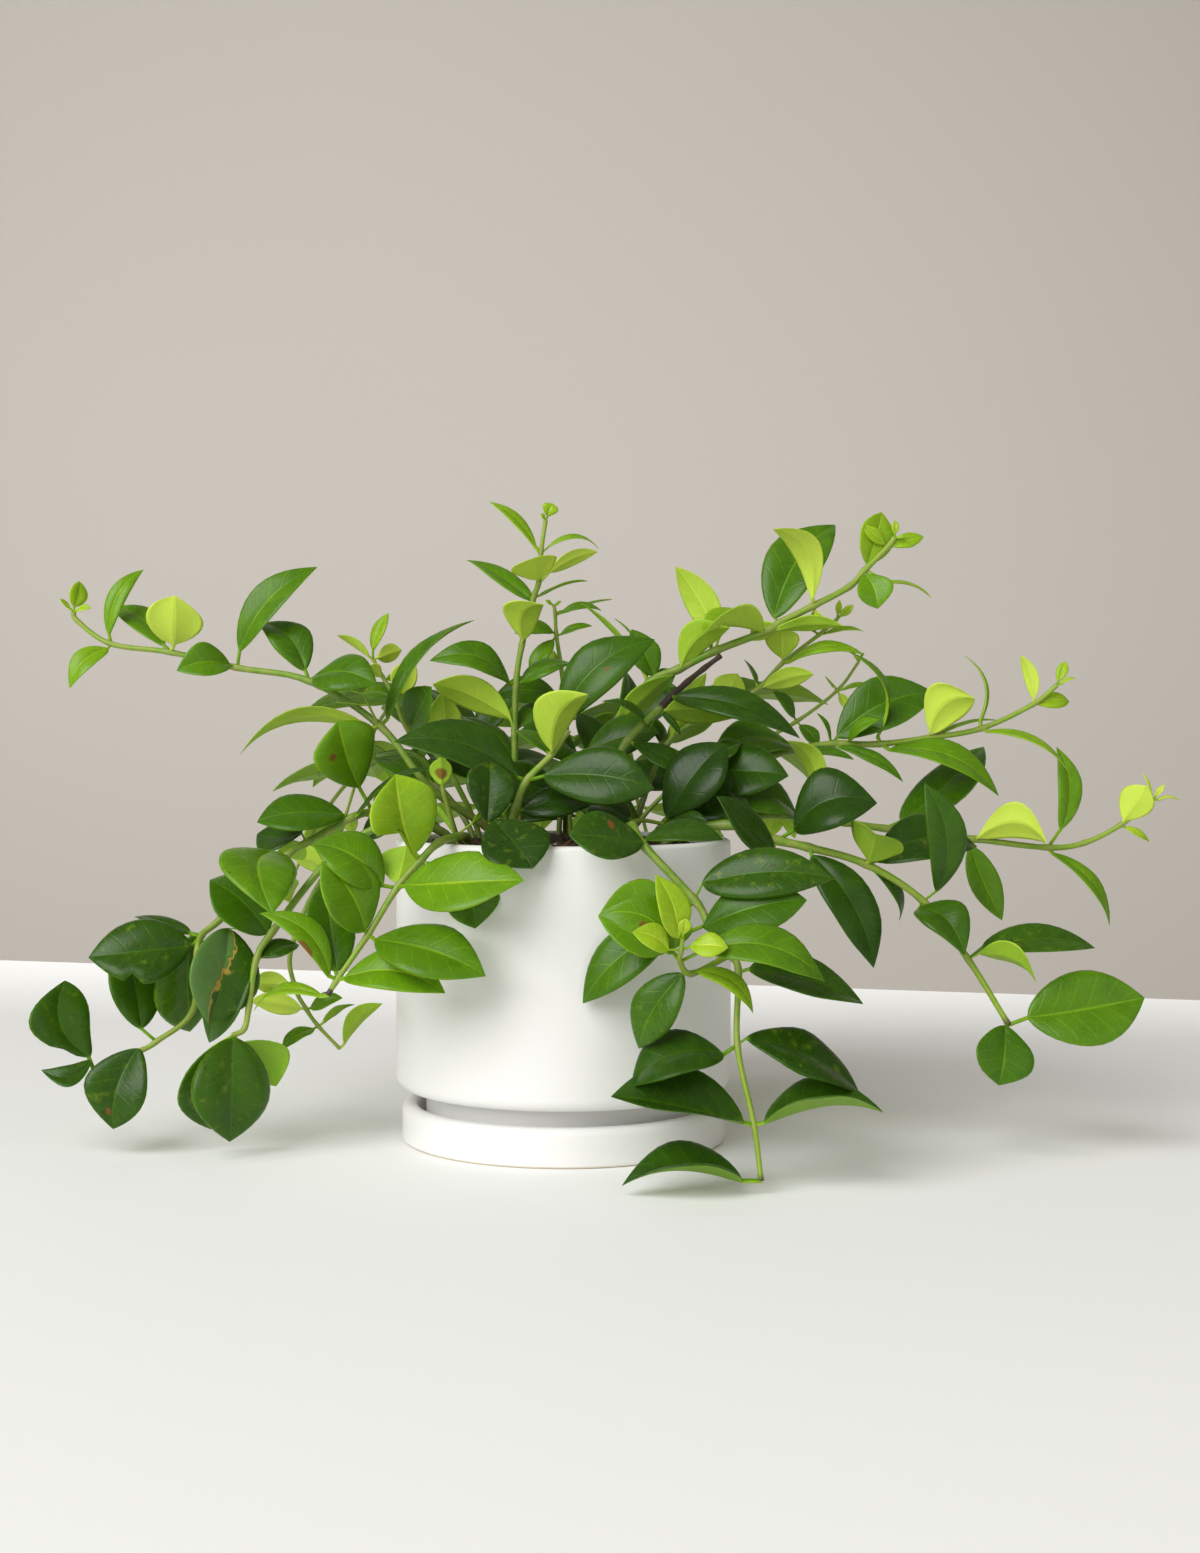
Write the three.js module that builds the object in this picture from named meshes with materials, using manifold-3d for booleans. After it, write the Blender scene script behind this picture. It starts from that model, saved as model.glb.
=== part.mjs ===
// A potted lipstick plant (Aeschynanthus): leafy trailing stems rooted in bark mix, in a white
// ceramic cylinder pot that stands in its matching saucer. Millimetres, +Z up. The origin is the
// middle of the saucer's underside, +X runs to the right and +Y away from the front.
import * as THREE from "three";
import Module from "manifold-3d";

const wasm = await Module();
wasm.setup();

// Pot, saucer and soil
const POT_RADIUS = 70;
const POT_TOP = 125;
const POT_WALL = 5.5;
const POT_SHOULDER = 22; // underside of the wide body, above the narrower foot
const FOOT_RADIUS = 57.5;
const FLOOR_THICKNESS = 7;
const DRAIN_RADIUS = 8;
const SAUCER_RADIUS = 67.5;
const SAUCER_TOP = 15.5;
const SAUCER_FLOOR = 4.5;
const SAUCER_WALL = 6.3;
const SEAT_GAP = 0.3; // left between pieces that rest on each other
const SOIL_EDGE = 120;
const SOIL_CROWN = 124.5;
const TURNS = 24; // sides of everything that is round

// Stems and leaves
const ROOT_DEPTH = 100; // stems are set down to this height in the soil
const STEM_SIDES = 4;
const STEM_TIP_SHARE = 0.5; // girth at the growing tip, as a share of the girth at the root
const JOINT_SWELL = 1.18; // the stem is thicker where leaves join it
const LONG_SPAN = 34; // a stem has one more ring between joints that are further apart
const BLADE_THICKNESS = 1.3; // along the midrib
const PETIOLE_SHARE = 0.045; // of the way from the stem to the leaf's tip
const PETIOLE_LEAST = 1.6;
const PETIOLE_MOST = 0.3; // a share again
const PETIOLE_HALF = 0.55;
const PETIOLE_SINK = 0.4; // its end is sunk in the stem, at this share of the stem's radius
const USUAL_FOLD = 0.14;
const BASE_POWER = 0.6; // how round the blade's base is
const TIP_POWER = 1.95; // how blunt its tip is
const TIP_GAIN = 6; // wide blades have blunter tips
const SLIM = 0.7; // width over length, up to which a tip is no blunter
const BLADE_SECTIONS = [0.12, 0.42, 0.76]; // shares of the blade's length
const SMALL_LEAF = 42; // shorter leaves are thinner and have fewer sections
const SMALL_SECTIONS = [0.2, 0.6];
const SMALL_THINNESS = 0.7;
const SMALL_PETIOLE = 0.6;
const STEM_FACING = new THREE.Vector3(0.31, 0.9, 0.3); // no stem runs this way, so it sets their corners
const SKY_LEAN = 0.3; // upright leaves count their right-hand side as the one towards the sky
const BASE_DEPTH = 0.12; // a blade's base lies this share of the way back to its tip's depth

// The far side of the plant, laid out by a rule: shoots that fan out behind, high and low in turn
const REAR_SHOOTS = 6;
const REAR_FIRST_ANGLE = 50; // degrees round from +X
const REAR_LAST_ANGLE = 150;
const REAR_GIRTH = 2.8;
const REAR_ROOT_RADIUS = 48;
const REAR_REACH = 112;
const REAR_SIDE_REACH = 0.75; // as a share, of the shoots that point to the sides
const REAR_ARCH = 222; // height of the point that pulls the shoot's arch up
const REAR_END = 132;
const REAR_DROOP = 62; // the lower end of the shoots that point straight back
const REAR_LIFT = 23; // every other shoot runs this much higher, and the rest lower
const REAR_JOINTS = 5;
const REAR_PAIRS = [
  [34, 66, 0.3],
  [44, 62, -0.1],
  [44, 52, 0.15],
  [36, 46, -0.12],
  [17, 30, 0.1],
]; // at each joint: the leaves' length, degrees aside of the stem, and rise
const REAR_TILT = 0.5; // how far the leaves' upper sides lean out from the pot
const REAR_LEAF_ARCH = 0.08;
const LEAF_SLIMNESS = 0.56; // width over length
const REAR_ANGLE_SCATTER = 2;
const REAR_REACH_SCATTER = 8;
const REAR_ROOT_SCATTER = 6;
const REAR_BEND = 3;
const REAR_SIZE_SCATTER = 0.12;
const REAR_SPREAD_SCATTER = 9;

// Where the plant is looked at from: leaves and stems are laid out as they are seen from here, on
// the upright plane through the pot's axis, with their depth behind that plane given beside it.
const EYE = new THREE.Vector3(0, -854, 167);

// Every shoot: name, place of its root in the soil, girth, and its joints in order. A joint is
// [across, up, depth, leaves], and a leaf is [tip across, tip up, tip depth beyond the joint,
// width, turn, arch, fold, base across, base up, sway, blunt]. Turn 0 shows the leaf's upper side,
// 90 its edge with the upper side to the sky, 180 its underside. Arch is the rise of its middle as a
// share of its length, and fold lifts its edges. The blade starts at its base, or where a short
// petiole ends on the way to the tip if no base is given. Sway bows it towards the sky as it is
// seen, and blunt is added to the power of its tip.
// A shoot with no root grows from a stem of the same name.
const SHOOTS = [
  ["stem_left_high", [-28, 2], 3.6, [
    [-56, 146, -6, [[-79, 160, 16, 18, 47, 0.1]]],
    [-77, 172, -4, [
      [-38, 217, 19, 15, 60, 0.13, 0.3, -74, 175, 0, 0.6],
      [-137, 164.5, -16, 13, 125, 0.2, 0.14, -81.5, 171],
    ]],
    [-107, 191, 0, [
      [-127, 217, 10, 19, 27, 0.05, 0.25, -108.5, 195.5, 0.12],
      [-79.5, 192.5, -22, 23, 57, 0.1, 0.14, -104.5, 192.5],
    ]],
    [-137, 196.5, 2, [
      [-103.5, 239, 6, 16.5, 32, 0.08, 0.25, -136, 204, 0.08],
      [-162.5, 195.5, -13, 16.5, 37, 0.12, 0.35, -140, 197.5, 0.03],
    ]],
    [-165, 203, 4, [
      [-163, 228, -19, 24, 180, -0.1, 0.14, -163.5, 206.5],
      [-189, 222, 19, 15, 37, 0.05, 0.14, -168, 206, 0.05],
    ]],
    [-190, 206.5, 6, [
      [-178, 239, 6, 9, 37, 0.08, 0.14, -191, 211, 0.06],
      [-207.5, 188, -10, 11, 27, 0.12, 0.14, -191.5, 204.5, 0.1],
    ]],
    [-204, 216, 8, []],
    [-206, 220, 8, [
      [-203, 233, 2, 9, 20, 0.1], [-211.5, 225.5, -2, 3.5, 60, 0], [-198.5, 222, -4, 4, 60, 0.1],
    ]],
  ]],
  ["stem_left_high", [], 1.2, [
    [-78, 173, -5, []],
    [-82, 181, -9, [[-95, 182.5, -2, 2.5, 70, 0]]],
    [-84.5, 186, -11, [[-93.5, 187.5, -2, 2.5, 60, 0.1], [-79, 190.5, 0, 2.5, 60, 0.1]]],
  ]],
  ["stem_left_inner", [-36, 20], 2.8, [
    [-50, 156, 16, [[-50, 186, 10, 17, 170, 0.1]]],
    [-65, 170, 18, [[-55.5, 188.5, -16, 18, 32, 0.05, 0.3]]],
    [-71, 184, 20, [[-84, 186, 4, 10, 60, 0.1], [-63, 199, 6, 12, 160, 0.1]]],
    [-75.5, 192, 21, [[-83, 197, -8, 8, 150, 0.05], [-66, 190, 10, 8, 60, 0.1]]],
    [-80, 200, 22, [
      [-95, 210.5, -6, 6, 120, 0.08], [-74.5, 220, 3, 8.5, 57, 0.05, 0.14, -80, 204],
      [-68, 204, 6, 9, 150, 0.05],
    ]],
  ]],
  ["stem_centre_tall", [-18, 10], 3.4, [
    [-20, 150, 8, [[-42, 178, 13, 19.5, 57, 0.1]]],
    [-20.5, 170, 8, [
      [-55, 190, -13, 16.5, 150, 0.12, 0.14, -22.5, 175.5, 0.02], [-6, 182, 16, 12, 50, 0.1],
    ]],
    [-20, 189.5, 8, [[-56, 200, -10, 16, 47, 0.16, 0.14, -23, 190.5, 0.08], [4, 200, 3, 16.5, 57, 0.1]]],
    [-17.5, 206, 7, [[-8.5, 223.5, -22, 16.5, 165, 0.05, 0.3, -17, 208.5, 0.2]]],
    [-12.5, 226, 6, [[-40, 244, 10, 12.5, 47, 0.02, 0.3, -13.5, 225], [10, 233.5, 10, 6, 85, 0.06]]],
    [-10.5, 232, 5, [[-13.5, 243, -14, 20, 178, 0], [13, 246.5, 10, 8, 135, 0.02, 0.14, -6, 237, 0.02]]],
    [-9.5, 244.5, 4, [
      [-30.5, 267, 5, 7.5, 57, 0.05, 0.14, -12, 247.5, 0.03],
      [15, 248, 8, 5, 65, 0.15, 0.14, -6, 247.5, 0.05],
    ]],
    [-7.5, 258.5, 3, [[-4.5, 265.5, -1, 7, 10, 0.2], [-9.5, 261, -1, 3, 60, 0.1]]],
  ]],
  ["stem_centre_slim", [-2, 24], 2.6, [
    [0, 160, 28, []],
    [0, 184, 29, [[-27.5, 187, -10, 16.5, 37, 0.12, 0.2]]],
    [-1, 197, 29, [[-8, 203, 6, 7, 150, 0]]],
    [-3, 210, 28, [
      [-20.5, 211, -8, 7, 30, 0.15, 0.14, -4.5, 211.5, 0.05], [-14.5, 193.5, -5, 9.5, 37, 0.1],
      [12, 214.5, 0, 5, 50, 0.12],
    ]],
    [-3.5, 219, 27, [[16, 222, 2, 6, 60, 0.15], [20, 227, 16, 4, 78, 0]]],
    [-4, 222.5, 27, [[-7.5, 225, 0, 2.5, 60, 0], [-1, 224.5, 0, 2.5, 60, 0]]],
  ]],
  ["stem_centre_low", [3, 8], 2.4, [
    [3, 141, 8, [[-32, 149, -26, 23.5, 37, 0.08], [32, 134, -6, 20, 42, 0.08]]],
    [7, 160, 12, [[-17, 171, -22, 20.5, 47, 0.1], [40, 170, -10, 24.5, 42, 0.08]]],
  ]],
  ["stem_centre_right", [27, -10], 2.6, [
    [44, 145, -8, [[78, 139, -16, 25.5, 29, 0.08]]],
    [58, 153, -6, [[94, 152, -16, 24.5, 27, 0.06], [74, 166, -3, 19.5, 57, 0.08]]],
  ]],
  ["stem_front_centre", [-22, -36], 4.2, [
    [-20, 137, -37, [[12, 140.5, 4, 16, 30, 0.06, 0.14, -17, 136.5, 0.03]]],
    [-15.5, 149, -37, [
      [-71, 166, -6, 25, 37, 0.06, 0.14, -19.5, 150.5, 0.08],
      [37, 148, -19, 25, 29, 0.03, 0.14, -8, 151, 0.02, 0.9],
    ]],
    [-5, 160, -34, [[10, 186, -22, 18.5, 145, 0.05, 0.5, -5, 162, 0.15], [-20, 171, 10, 11.5, 57, 0.1]]],
    [2, 170, -30, [[37, 210, -3, 23, 22, 0.06, 0.14, -1, 175.5, 0.09]]],
  ]],
  ["stem_hairy_bud", [-42, -38], 2.8, [
    [-45, 126, -43, [[-23, 133, -6, 8, 110, 0.12, 0.14, -38, 131.5, 0.1], [-58, 142, 3, 5, 120, 0.05]]],
    [-50, 143, -52, []],
    [-51, 147.5, -54, [[-51.5, 159, -2, 9, 175, 0.05, 0.3, -51.3, 147.5]]],
  ]],
  ["stem_front_low", [-19, -50], 2.6, [
    [-29, 129.5, -57, [
      [-30, 158, 10, 20.5, 22, 0.04, 0.35, -32, 131.5, 0, 0.8],
      [-13, 113, -24, 27.5, 24, 0.06, 0.14, -29, 132, -0.02, 1.2],
    ]],
  ]],
  ["stem_right_high", [20, 16], 4.4, [
    [20, 150, 18, []],
    [21, 171, 18, [[46, 194, -10, 13, 150, 0.1]]],
    [36, 190, 18, [
      [29, 213, 3, 15.5, 27, 0.05, 0.14, 38, 193], [22.5, 218, 13, 3, 85, 0.1],
      [7.5, 224, 3, 5, 120, 0.02, 0.14, 33, 196, 0.02],
    ]],
    [48.5, 196, 18, [[70, 213.5, -13, 14.5, 165, 0.05, 0.3, 49.5, 197, 0.17], [40, 188, 8, 12, 40, 0.1]]],
    [63.5, 203.5, 19, [
      [47.5, 239, 3, 14.5, 172, 0.04, 0.14, 65, 208, 0.06, 0.4], [52, 213, 12, 9, 70, 0.1],
    ]],
    [85.5, 212, 22, [[58.5, 213.5, -19, 20, 85, 0.06, 1], [117, 215, 3, 9, 130, 0.05]]],
    [91, 215.5, 23, [[114, 258, 24, 26, 22, 0.05, 0.3, 88.5, 217.5, 0.06], [78, 208, 6, 10, 150, 0.1]]],
    [105, 222.5, 24, [
      [87.5, 256, -20, 12.5, 172, 0.12, 0.14, 104.5, 226, 0.18], [107, 215, 2, 6, 150, 0],
    ]],
    [120, 230.5, 26, []],
    [126.5, 237.5, 27, [
      [134, 262, 3, 17.5, 25, 0.05, 0.14, 127.5, 240],
      [132, 221.5, -8, 16, 10, 0.1, 0.3, 126.5, 235.5, 0.1],
      [154.5, 226.5, 13, 3.5, 85, 0.1, 0.14, 135.5, 232.5],
    ]],
    [136, 247, 28, [[126, 256.5, -4, 6, 20, 0.05], [151.5, 252, 2, 7, 20, 0.05]]],
    [139, 251, 28, [[139.5, 258.5, 0, 3.5, 10, 0.1], [143, 251.5, -2, 2.5, 60, 0.1]]],
  ]],
  ["stem_woody", [12, -4], 4, [
    [19, 150, -8, []],
    [27, 166, -8, [[54.5, 151, -11, 14, 57, 0.05]]],
    [40, 179, -4, [
      [73, 177, 6, 18, 150, 0.08], [16.5, 183, -6, 9, 60, 0.14, 0.3, 36, 170.5],
      [49.5, 168.5, -4, 4, 40, 0.1],
    ]],
    [45.5, 184.5, -1, [[99.5, 169.5, -19, 19.5, 42, 0.12, 0.2, 46.5, 184, -0.02]]],
    [52, 190.5, 4, []],
    [59, 196.2, 9, []],
    [66, 201.5, 12, []],
  ]],
  ["stem_right_back", [30, 24], 2.9, [
    [44, 165, 30, [[60, 194.5, -3, 10, 150, 0.05]]],
    [66, 178, 32, [[73, 194, 4, 15, 165, 0.1]]],
    [82, 188, 34, [[105, 194.5, -3, 10, 150, 0.05], [76, 200, 8, 6, 70, 0.05]]],
    [92, 198.5, 37, [[92, 213, -10, 15, 178, 0], [126, 204.5, -6, 8, 60, 0.15]]],
    [107.5, 210.5, 41, [[126, 213, 0, 4.5, 55, 0.08], [97, 216, 6, 5, 60, 0.1]]],
    [115, 217, 43, [[116, 225, 0, 3, 20, 0], [121.5, 223, -2, 4, 20, 0]]],
  ]],
  ["stem_right_rear", [42, 24], 2.4, [
    [70, 157, 44, [[88, 150, 6, 19.5, 57, 0.1]]],
    [98, 174, 50, [[89, 187, -6, 8, 50, 0.1], [107, 163, -4, 9, 50, 0.1]]],
    [115, 187, 54, [
      [130.5, 189, 2, 5, 120, 0.1], [119, 179.5, -2, 5, 150, 0.1], [110, 193, 2, 2, 80, 0],
    ]],
    [124, 199, 56, [[120.5, 205, 0, 2, 60, 0], [126, 203, 0, 2, 60, 0]]],
  ]],
  ["stem_right_long", [38, 4], 3.8, [
    [62, 148, 6, []],
    [86, 159, 8, []],
    [99, 162.5, 8, [[122, 158.5, -13, 9, 60, 0.05], [62, 159, -10, 24, 57, 0.08, 0.14, 96, 163, 0.1]]],
    [113, 164.5, 8, [
      [156, 186, 6, 24.5, 22, 0.05, 0.14, 115, 167.5, 0.1], [106.5, 177.5, -6, 4, 60, 0.1],
      [143.5, 151, -10, 8, 60, 0.08],
    ]],
    [118, 164.5, 8, [[132, 175.5, -10, 9, 50, 0.15]]],
    [133, 164.5, 9, [[120, 204, -13, 9, 80, 0.24], [183, 143, -10, 20, 57, 0.11, 0.14, 137, 162, 0.05]]],
    [153, 167, 10, [
      [173.5, 184.5, -16, 19, 172, 0.04, 0.25, 154, 169.5, 0.2], [182, 176, 13, 4, 80, 0.05],
    ]],
    [175.5, 171, 10, [[171, 202, 10, 4, 85, 0.16], [212.5, 156.5, -10, 8, 60, 0.13]]],
    [197, 181, 10, [[192, 202, 0, 6.5, 168, 0.05, 0.14, 197.5, 183.5, 0.08], [213, 183, 6, 8, 30, 0.1]]],
    [207, 189, 10, [[211, 199.5, 2, 5, 15, 0.05], [215, 192.5, -2, 3.5, 60, 0.1]]],
  ]],
  ["stem_right_low", [48, 12], 3.8, [
    [78, 134, 2, []],
    [100, 134, -2, [[69, 139, -16, 24, 48, 0.1, 0.14, 98.5, 133, 0.12]]],
    [118, 131.5, 0, [[94, 166, -13, 10.5, 150, 0.2, 0.14, 108, 142, 0.05]]],
    [135, 129, 3, [[177, 167, 32, 22, 25, 0.04, 0.14, 142, 132, -0.05]]],
    [173, 124.5, 8, [
      [184.5, 90.5, -6, 15, 27, 0.05, 0.2, 171, 121, -0.05],
      [204, 123.5, -19, 16.5, 160, 0.06, 0.35, 174.5, 125.5, 0.22],
    ]],
    [203.5, 121, 10, [[209, 163.5, 3, 12, 32, 0.02, 0.25, 209, 129, 0.08], [230, 88.5, 0, 10, 55, 0.16]]],
    [219, 123, 10, []],
    [234, 130.5, 10, [[245, 147, -6, 15, 175, 0.02], [246.5, 123.5, 2, 4.5, 40, 0.1]]],
    [247.5, 141, 10, [
      [244, 152.5, 0, 2, 60, 0.05], [259, 141, 0, 2.5, 70, 0.15], [252.5, 147.5, 0, 3, 30, 0],
    ]],
  ]],
  ["stem_right_drooping", [42, -24], 4.4, [
    [68, 130.5, -30, []],
    [90, 124, -34, [
      [66.5, 143, -16, 19, 42, 0.05, 0.2, 88, 120, -0.08],
      [130.5, 141, -13, 29, 27, 0.05, 0.3, 97, 128.5, 0.17],
    ]],
    [103, 121, -35, [[131, 71, -16, 21.5, 22, 0.05, 0.14, 104.5, 117.5, 0.07]]],
    [127, 114, -37, [
      [132, 129, -26, 23.5, 168, 0.05, 0.4, 128.5, 115.5],
      [174, 122, 10, 26, 42, 0.06, 0.14, 131.5, 115.5, 0.11],
      [143, 90.5, 13, 8, 50, 0.05, 0.14, 131, 111, 0.1],
    ]],
    [151, 98.5, -40, [
      [153.5, 147.5, -10, 17, 29, 0.04, 0.25, 157, 103, 0.1],
      [168.5, 78, -22, 20, 32, 0.12, 0.35, 149, 95, 0.1],
    ]],
    [170, 74, -43, [
      [223.5, 79.5, 6, 17.5, 47, 0.08, 0.14, 176, 79, 0.02],
      [199, 65, -16, 18, 120, 0.1, 0.3, 175, 76.5, 0.06],
    ]],
    [187, 46.5, -47, [
      [244.5, 58.5, 3, 31.5, 17, 0.04, 0.14, 195, 49.5, -0.04],
      [183.5, 21.5, -13, 24.5, 22, 0.06, 0.2, 185.5, 46.2],
    ]],
  ]],
  ["stem_front_hanging", [27, -46], 3.8, [
    [29, 130, -60, []],
    [34, 121.5, -74, [
      [2.5, 126.5, -13, 23, 42, 0.1, 0.14, 33, 123, -0.06, 1.2],
      [67, 126, -6, 16, 62, 0.06, 0.14, 34.5, 124.5, 0.04],
    ]],
    [55, 99, -80, [
      [113, 110.5, -13, 22.5, 32, 0.04, 0.14, 58.5, 106, 0.03],
      [6.5, 56.5, 3, 21.5, 22, 0.04, 0.14, 46, 88, 0.05],
    ]],
    [61, 89, -83, [
      [102, 99.5, -10, 23.5, 32, 0.1, 0.14, 59, 87.5], [14.5, 92, -10, 31.5, 22, 0.05, 0.14, 54, 86],
    ]],
    [70, 76, -88, []],
    [73.5, 68.5, -91, [[126, 55.5, 0, 29.5, 57, 0.05, 0.14, 78, 70, 0.02]]],
    [73, 38, -99, [
      [28, 21, -6, 27, 42, 0.06, 0.14, 67, 34, 0.12], [125.5, 20, 3, 27, 52, 0.08, 0.14, 77, 41],
    ]],
    [80, 4.5, -106, [
      [20.5, 18.5, -3, 31, 62, 0, 0.62, 75.5, 5.5], [133.5, 15, 3, 26, 78, 0.06, 0.7, 84.5, 5.5],
    ]],
    [83, -19, -111, [[25, -15.5, -3, 26, 75, 0.07, 0.65, 75, -19]]],
  ]],
  ["stem_front_hanging", [], 2.6, [
    [70, 76, -88, []],
    [54, 68, -104, [
      [81, 53, -3, 10, 45, 0.12, 0.14, 56.5, 69, 0.08], [30, 36.5, 6, 19, 22, 0.06, 0.14, 50, 68, 0.05],
    ]],
    [49, 73, -111, [
      [110, 65.5, -3, 20, 37, 0.1, 0.14, 58, 77.5, 0.1],
      [15.5, 93.5, -6, 17, 27, 0.08, 0.14, 46, 77, 0.18],
    ]],
    [49.5, 78, -115, [
      [29, 85.5, -5, 10.5, 27, 0.05, 0.14, 44, 78, 0.1],
      [69, 79.5, -5, 10.5, 32, 0.08, 0.14, 53.5, 79.5],
    ]],
    [50, 83, -117, [[39, 109.5, -2, 13.5, 22, 0.06, 0.14, 48, 83, 0.08], [51.5, 91, -3, 5, 5, 0]]],
  ]],
  ["stem_left_front", [-38, -40], 3.8, [
    [-44, 125.5, -50, []],
    [-52.5, 123, -60, []],
    [-60.5, 115, -64, [
      [-70, 151.5, -13, 29, 22, 0.1, 0.3, -63, 118.5, -0.1, 1.2],
      [-37, 87, -8, 25, 22, 0.06, 0.14, -47, 114, 0.05],
    ]],
    [-70, 104, -67, [
      [-17.5, 108, -26, 28, 27, 0.08, 0.14, -66.5, 105, -0.05],
      [-104.5, 123.5, -6, 25, 29, 0.06, 0.14, -76, 105, 0.08], [-66, 121, 12, 18, 170, 0],
    ]],
    [-82, 84.5, -70, [
      [-101, 115, -10, 26, 22, 0.05, 0.15, -83.5, 86, 0.07],
      [-33, 70, -22, 27, 47, 0.1, 0.14, -79, 82, -0.03],
    ]],
    [-95, 65.5, -73, [
      [-50, 61.5, -13, 22, 42, 0.08, 0.25, -92, 66, 0.06],
      [-127, 94, -3, 12.5, 27, 0.1, 0.14, -98.5, 67, 0.12], [-101, 106, 19, 19.5, 22, 0.04],
    ]],
    [-99, 59, -74, [[-131, 54.5, 16, 9, 62, 0.16]]],
  ]],
  ["stem_left_drooping", [-46, -14], 3.8, [
    [-70, 131.5, -24, []],
    [-96, 118, -22, []],
    [-122, 86, -36, [
      [-148.5, 107.5, -3, 25.5, 25, 0.05, 0.3, -124.5, 85, 0.05],
      [-148.5, 47, -14, 30.5, 22, 0.06, 0.2, -141, 87],
    ]],
    [-129, 74, -40, [[-111, 81, 10, 12.5, 47, 0.1], [-149, 39, 6, 20, 32, 0.1, 0.14, -131.5, 70, 0.03]]],
    [-132, 55, -43, []],
    [-134, 45, -45, []],
    [-139, 42, -47, [
      [-139, -2.5, -10, 34, 17, 0.06, 0.14, -139, 41.2, -0.02],
      [-148, 2.5, 13, 26.5, 25, 0.05, 0.14, -146, 38, -0.1],
      [-120.5, 21.5, 13, 21, 150, 0.05, 0.14, -135, 39, 0.1],
    ]],
  ]],
  ["stem_left_low", [-48, 4], 3.7, [
    [-66, 132, 0, [[-85, 127.5, 3, 15, 50, 0.1]]],
    [-80, 135.5, -2, [
      [-94, 173.5, -15, 30, 22, 0.06, 0.14, -86, 146.5, -0.06, 1.6], [-72, 147, 8, 8, 60, 0.1],
    ]],
    [-89, 133.5, -6, [
      [-55, 155.5, -16, 10, 75, 0.1], [-128.5, 133.5, -13, 24, 45, 0.1, 0.14, -92.5, 134.5, -0.02, 1.5],
    ]],
    [-108, 123, -12, [
      [-129.5, 128, 16, 19, 47, 0.05, 0.14, -110, 127, -0.12], [-117, 118, 12, 12, 160, 0],
    ]],
    [-117, 117, -16, [[-121.5, 95.5, -48, 31.5, 17, 0.12, 0.14, -122, 119, -0.15]]],
    [-144, 91, -28, []],
    [-152, 84, -32, [
      [-199.5, 76, -13, 30, 22, 0.05, 0.14, -156, 80, -0.03],
      [-154.5, 41.5, 16, 30, 25, 0.05, 0.14, -156, 84, -0.07],
      [-180, 94, 10, 12, 55, 0.1, 0.14, -157, 85, -0.08],
    ]],
    [-154, 76, -38, []],
    [-156, 52, -30, []],
    [-171, 39.5, -32, [[-184, 82, 16, 22.5, 22, 0.05, 0.14, -177.5, 45]]],
    [-178, 35.5, -34, [[-190, 3, -10, 26, 22, 0.05, 0.3, -178.5, 36.5, 0.08]]],
    [-197.5, 28, -37, [
      [-209, 65.5, 6, 26, 22, 0.1, 0.14, -199.5, 33, -0.27, 1],
      [-219.5, 28.5, -6, 10.5, 30, 0.15, 0.3, -198.5, 31, -0.32],
    ]],
  ]],
  ["stem_left_rear", [-51, 15], 2.8, [
    [-66, 134, 26, []],
    [-98, 112, 20, [[-116, 119, 10, 12, 150, 0.1]]],
    [-114, 80, 12, []],
    [-113, 63, 8, [[-130, 64, 6, 13, 150, 0.05]]],
    [-108, 53, 6, [[-131, 57, 10, 11, 150, 0.05], [-93, 58, -6, 9, 40, 0.1]]],
    [-103, 46, 4, [[-118.5, 36.5, -10, 11, 55, 0.12], [-88, 55.5, 4, 8, 120, 0.1]]],
    [-94, 36.5, 2, [[-76, 55.5, 6, 12, 120, 0.18]]],
  ]],
  ["stem_front_right", [20, -40], 2.8, [
    [30, 132, -34, [[12, 141, 10, 19.5, 57, 0.06]]],
    [42, 131, -26, [
      [67, 165.5, -3, 27, 22, 0.05, 0.14, 43.5, 133.5, 0.02, 1.5], [60, 133, -13, 9, 55, 0.06],
    ]],
  ]],
  ["stem_back_left", [-22, 32], 2.8, [
    [-28, 134, 35, [[6, 136, 10, 22, 52, 0.08]]],
    [-32, 150, 38, [[-58, 164, -5, 18, 44, 0.1], [-4, 160, 14, 20, 46, 0.1, 0.2]]],
    [-36, 166, 42, [[-58, 188, 12, 19, 50, 0.1], [-22, 186, 10, 17, 40, 0.08, 0.2]]],
  ]],
  ["stem_back_right", [8, 38], 2.8, [
    [12, 135, 41, [[28, 127, -10, 13, 50, 0.1], [-12, 150, 14, 17, 45, 0.1]]],
    [18, 150, 44, [[56, 149, -8, 22, 42, 0.1], [6, 178, 12, 18, 38, 0.08, 0.2]]],
    [24, 166, 46, [[54, 188, -6, 15, 46, 0.1], [28, 196, 12, 16, 42, 0.08, 0.2]]],
  ]],
];

// A point that is seen at (across, up) on the plane through the pot's axis, and lies at a depth.
function seen(across, up, depth) {
  const near = (depth - EYE.y) / -EYE.y;
  return new THREE.Vector3(across * near, depth, EYE.z + (up - EYE.z) * near);
}

function solidOf(geometry) {
  const vertProperties = new Float32Array(geometry.getAttribute("position").array);
  const triVerts = new Uint32Array(geometry.index.array);
  return new wasm.Manifold(new wasm.Mesh({ numProp: 3, vertProperties, triVerts }));
}

function geometryOf(solid) {
  const { vertProperties, triVerts } = solid.getMesh();
  return new THREE.BufferGeometry()
    .setAttribute("position", new THREE.BufferAttribute(vertProperties, 3))
    .setIndex(new THREE.BufferAttribute(triVerts, 1));
}

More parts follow.
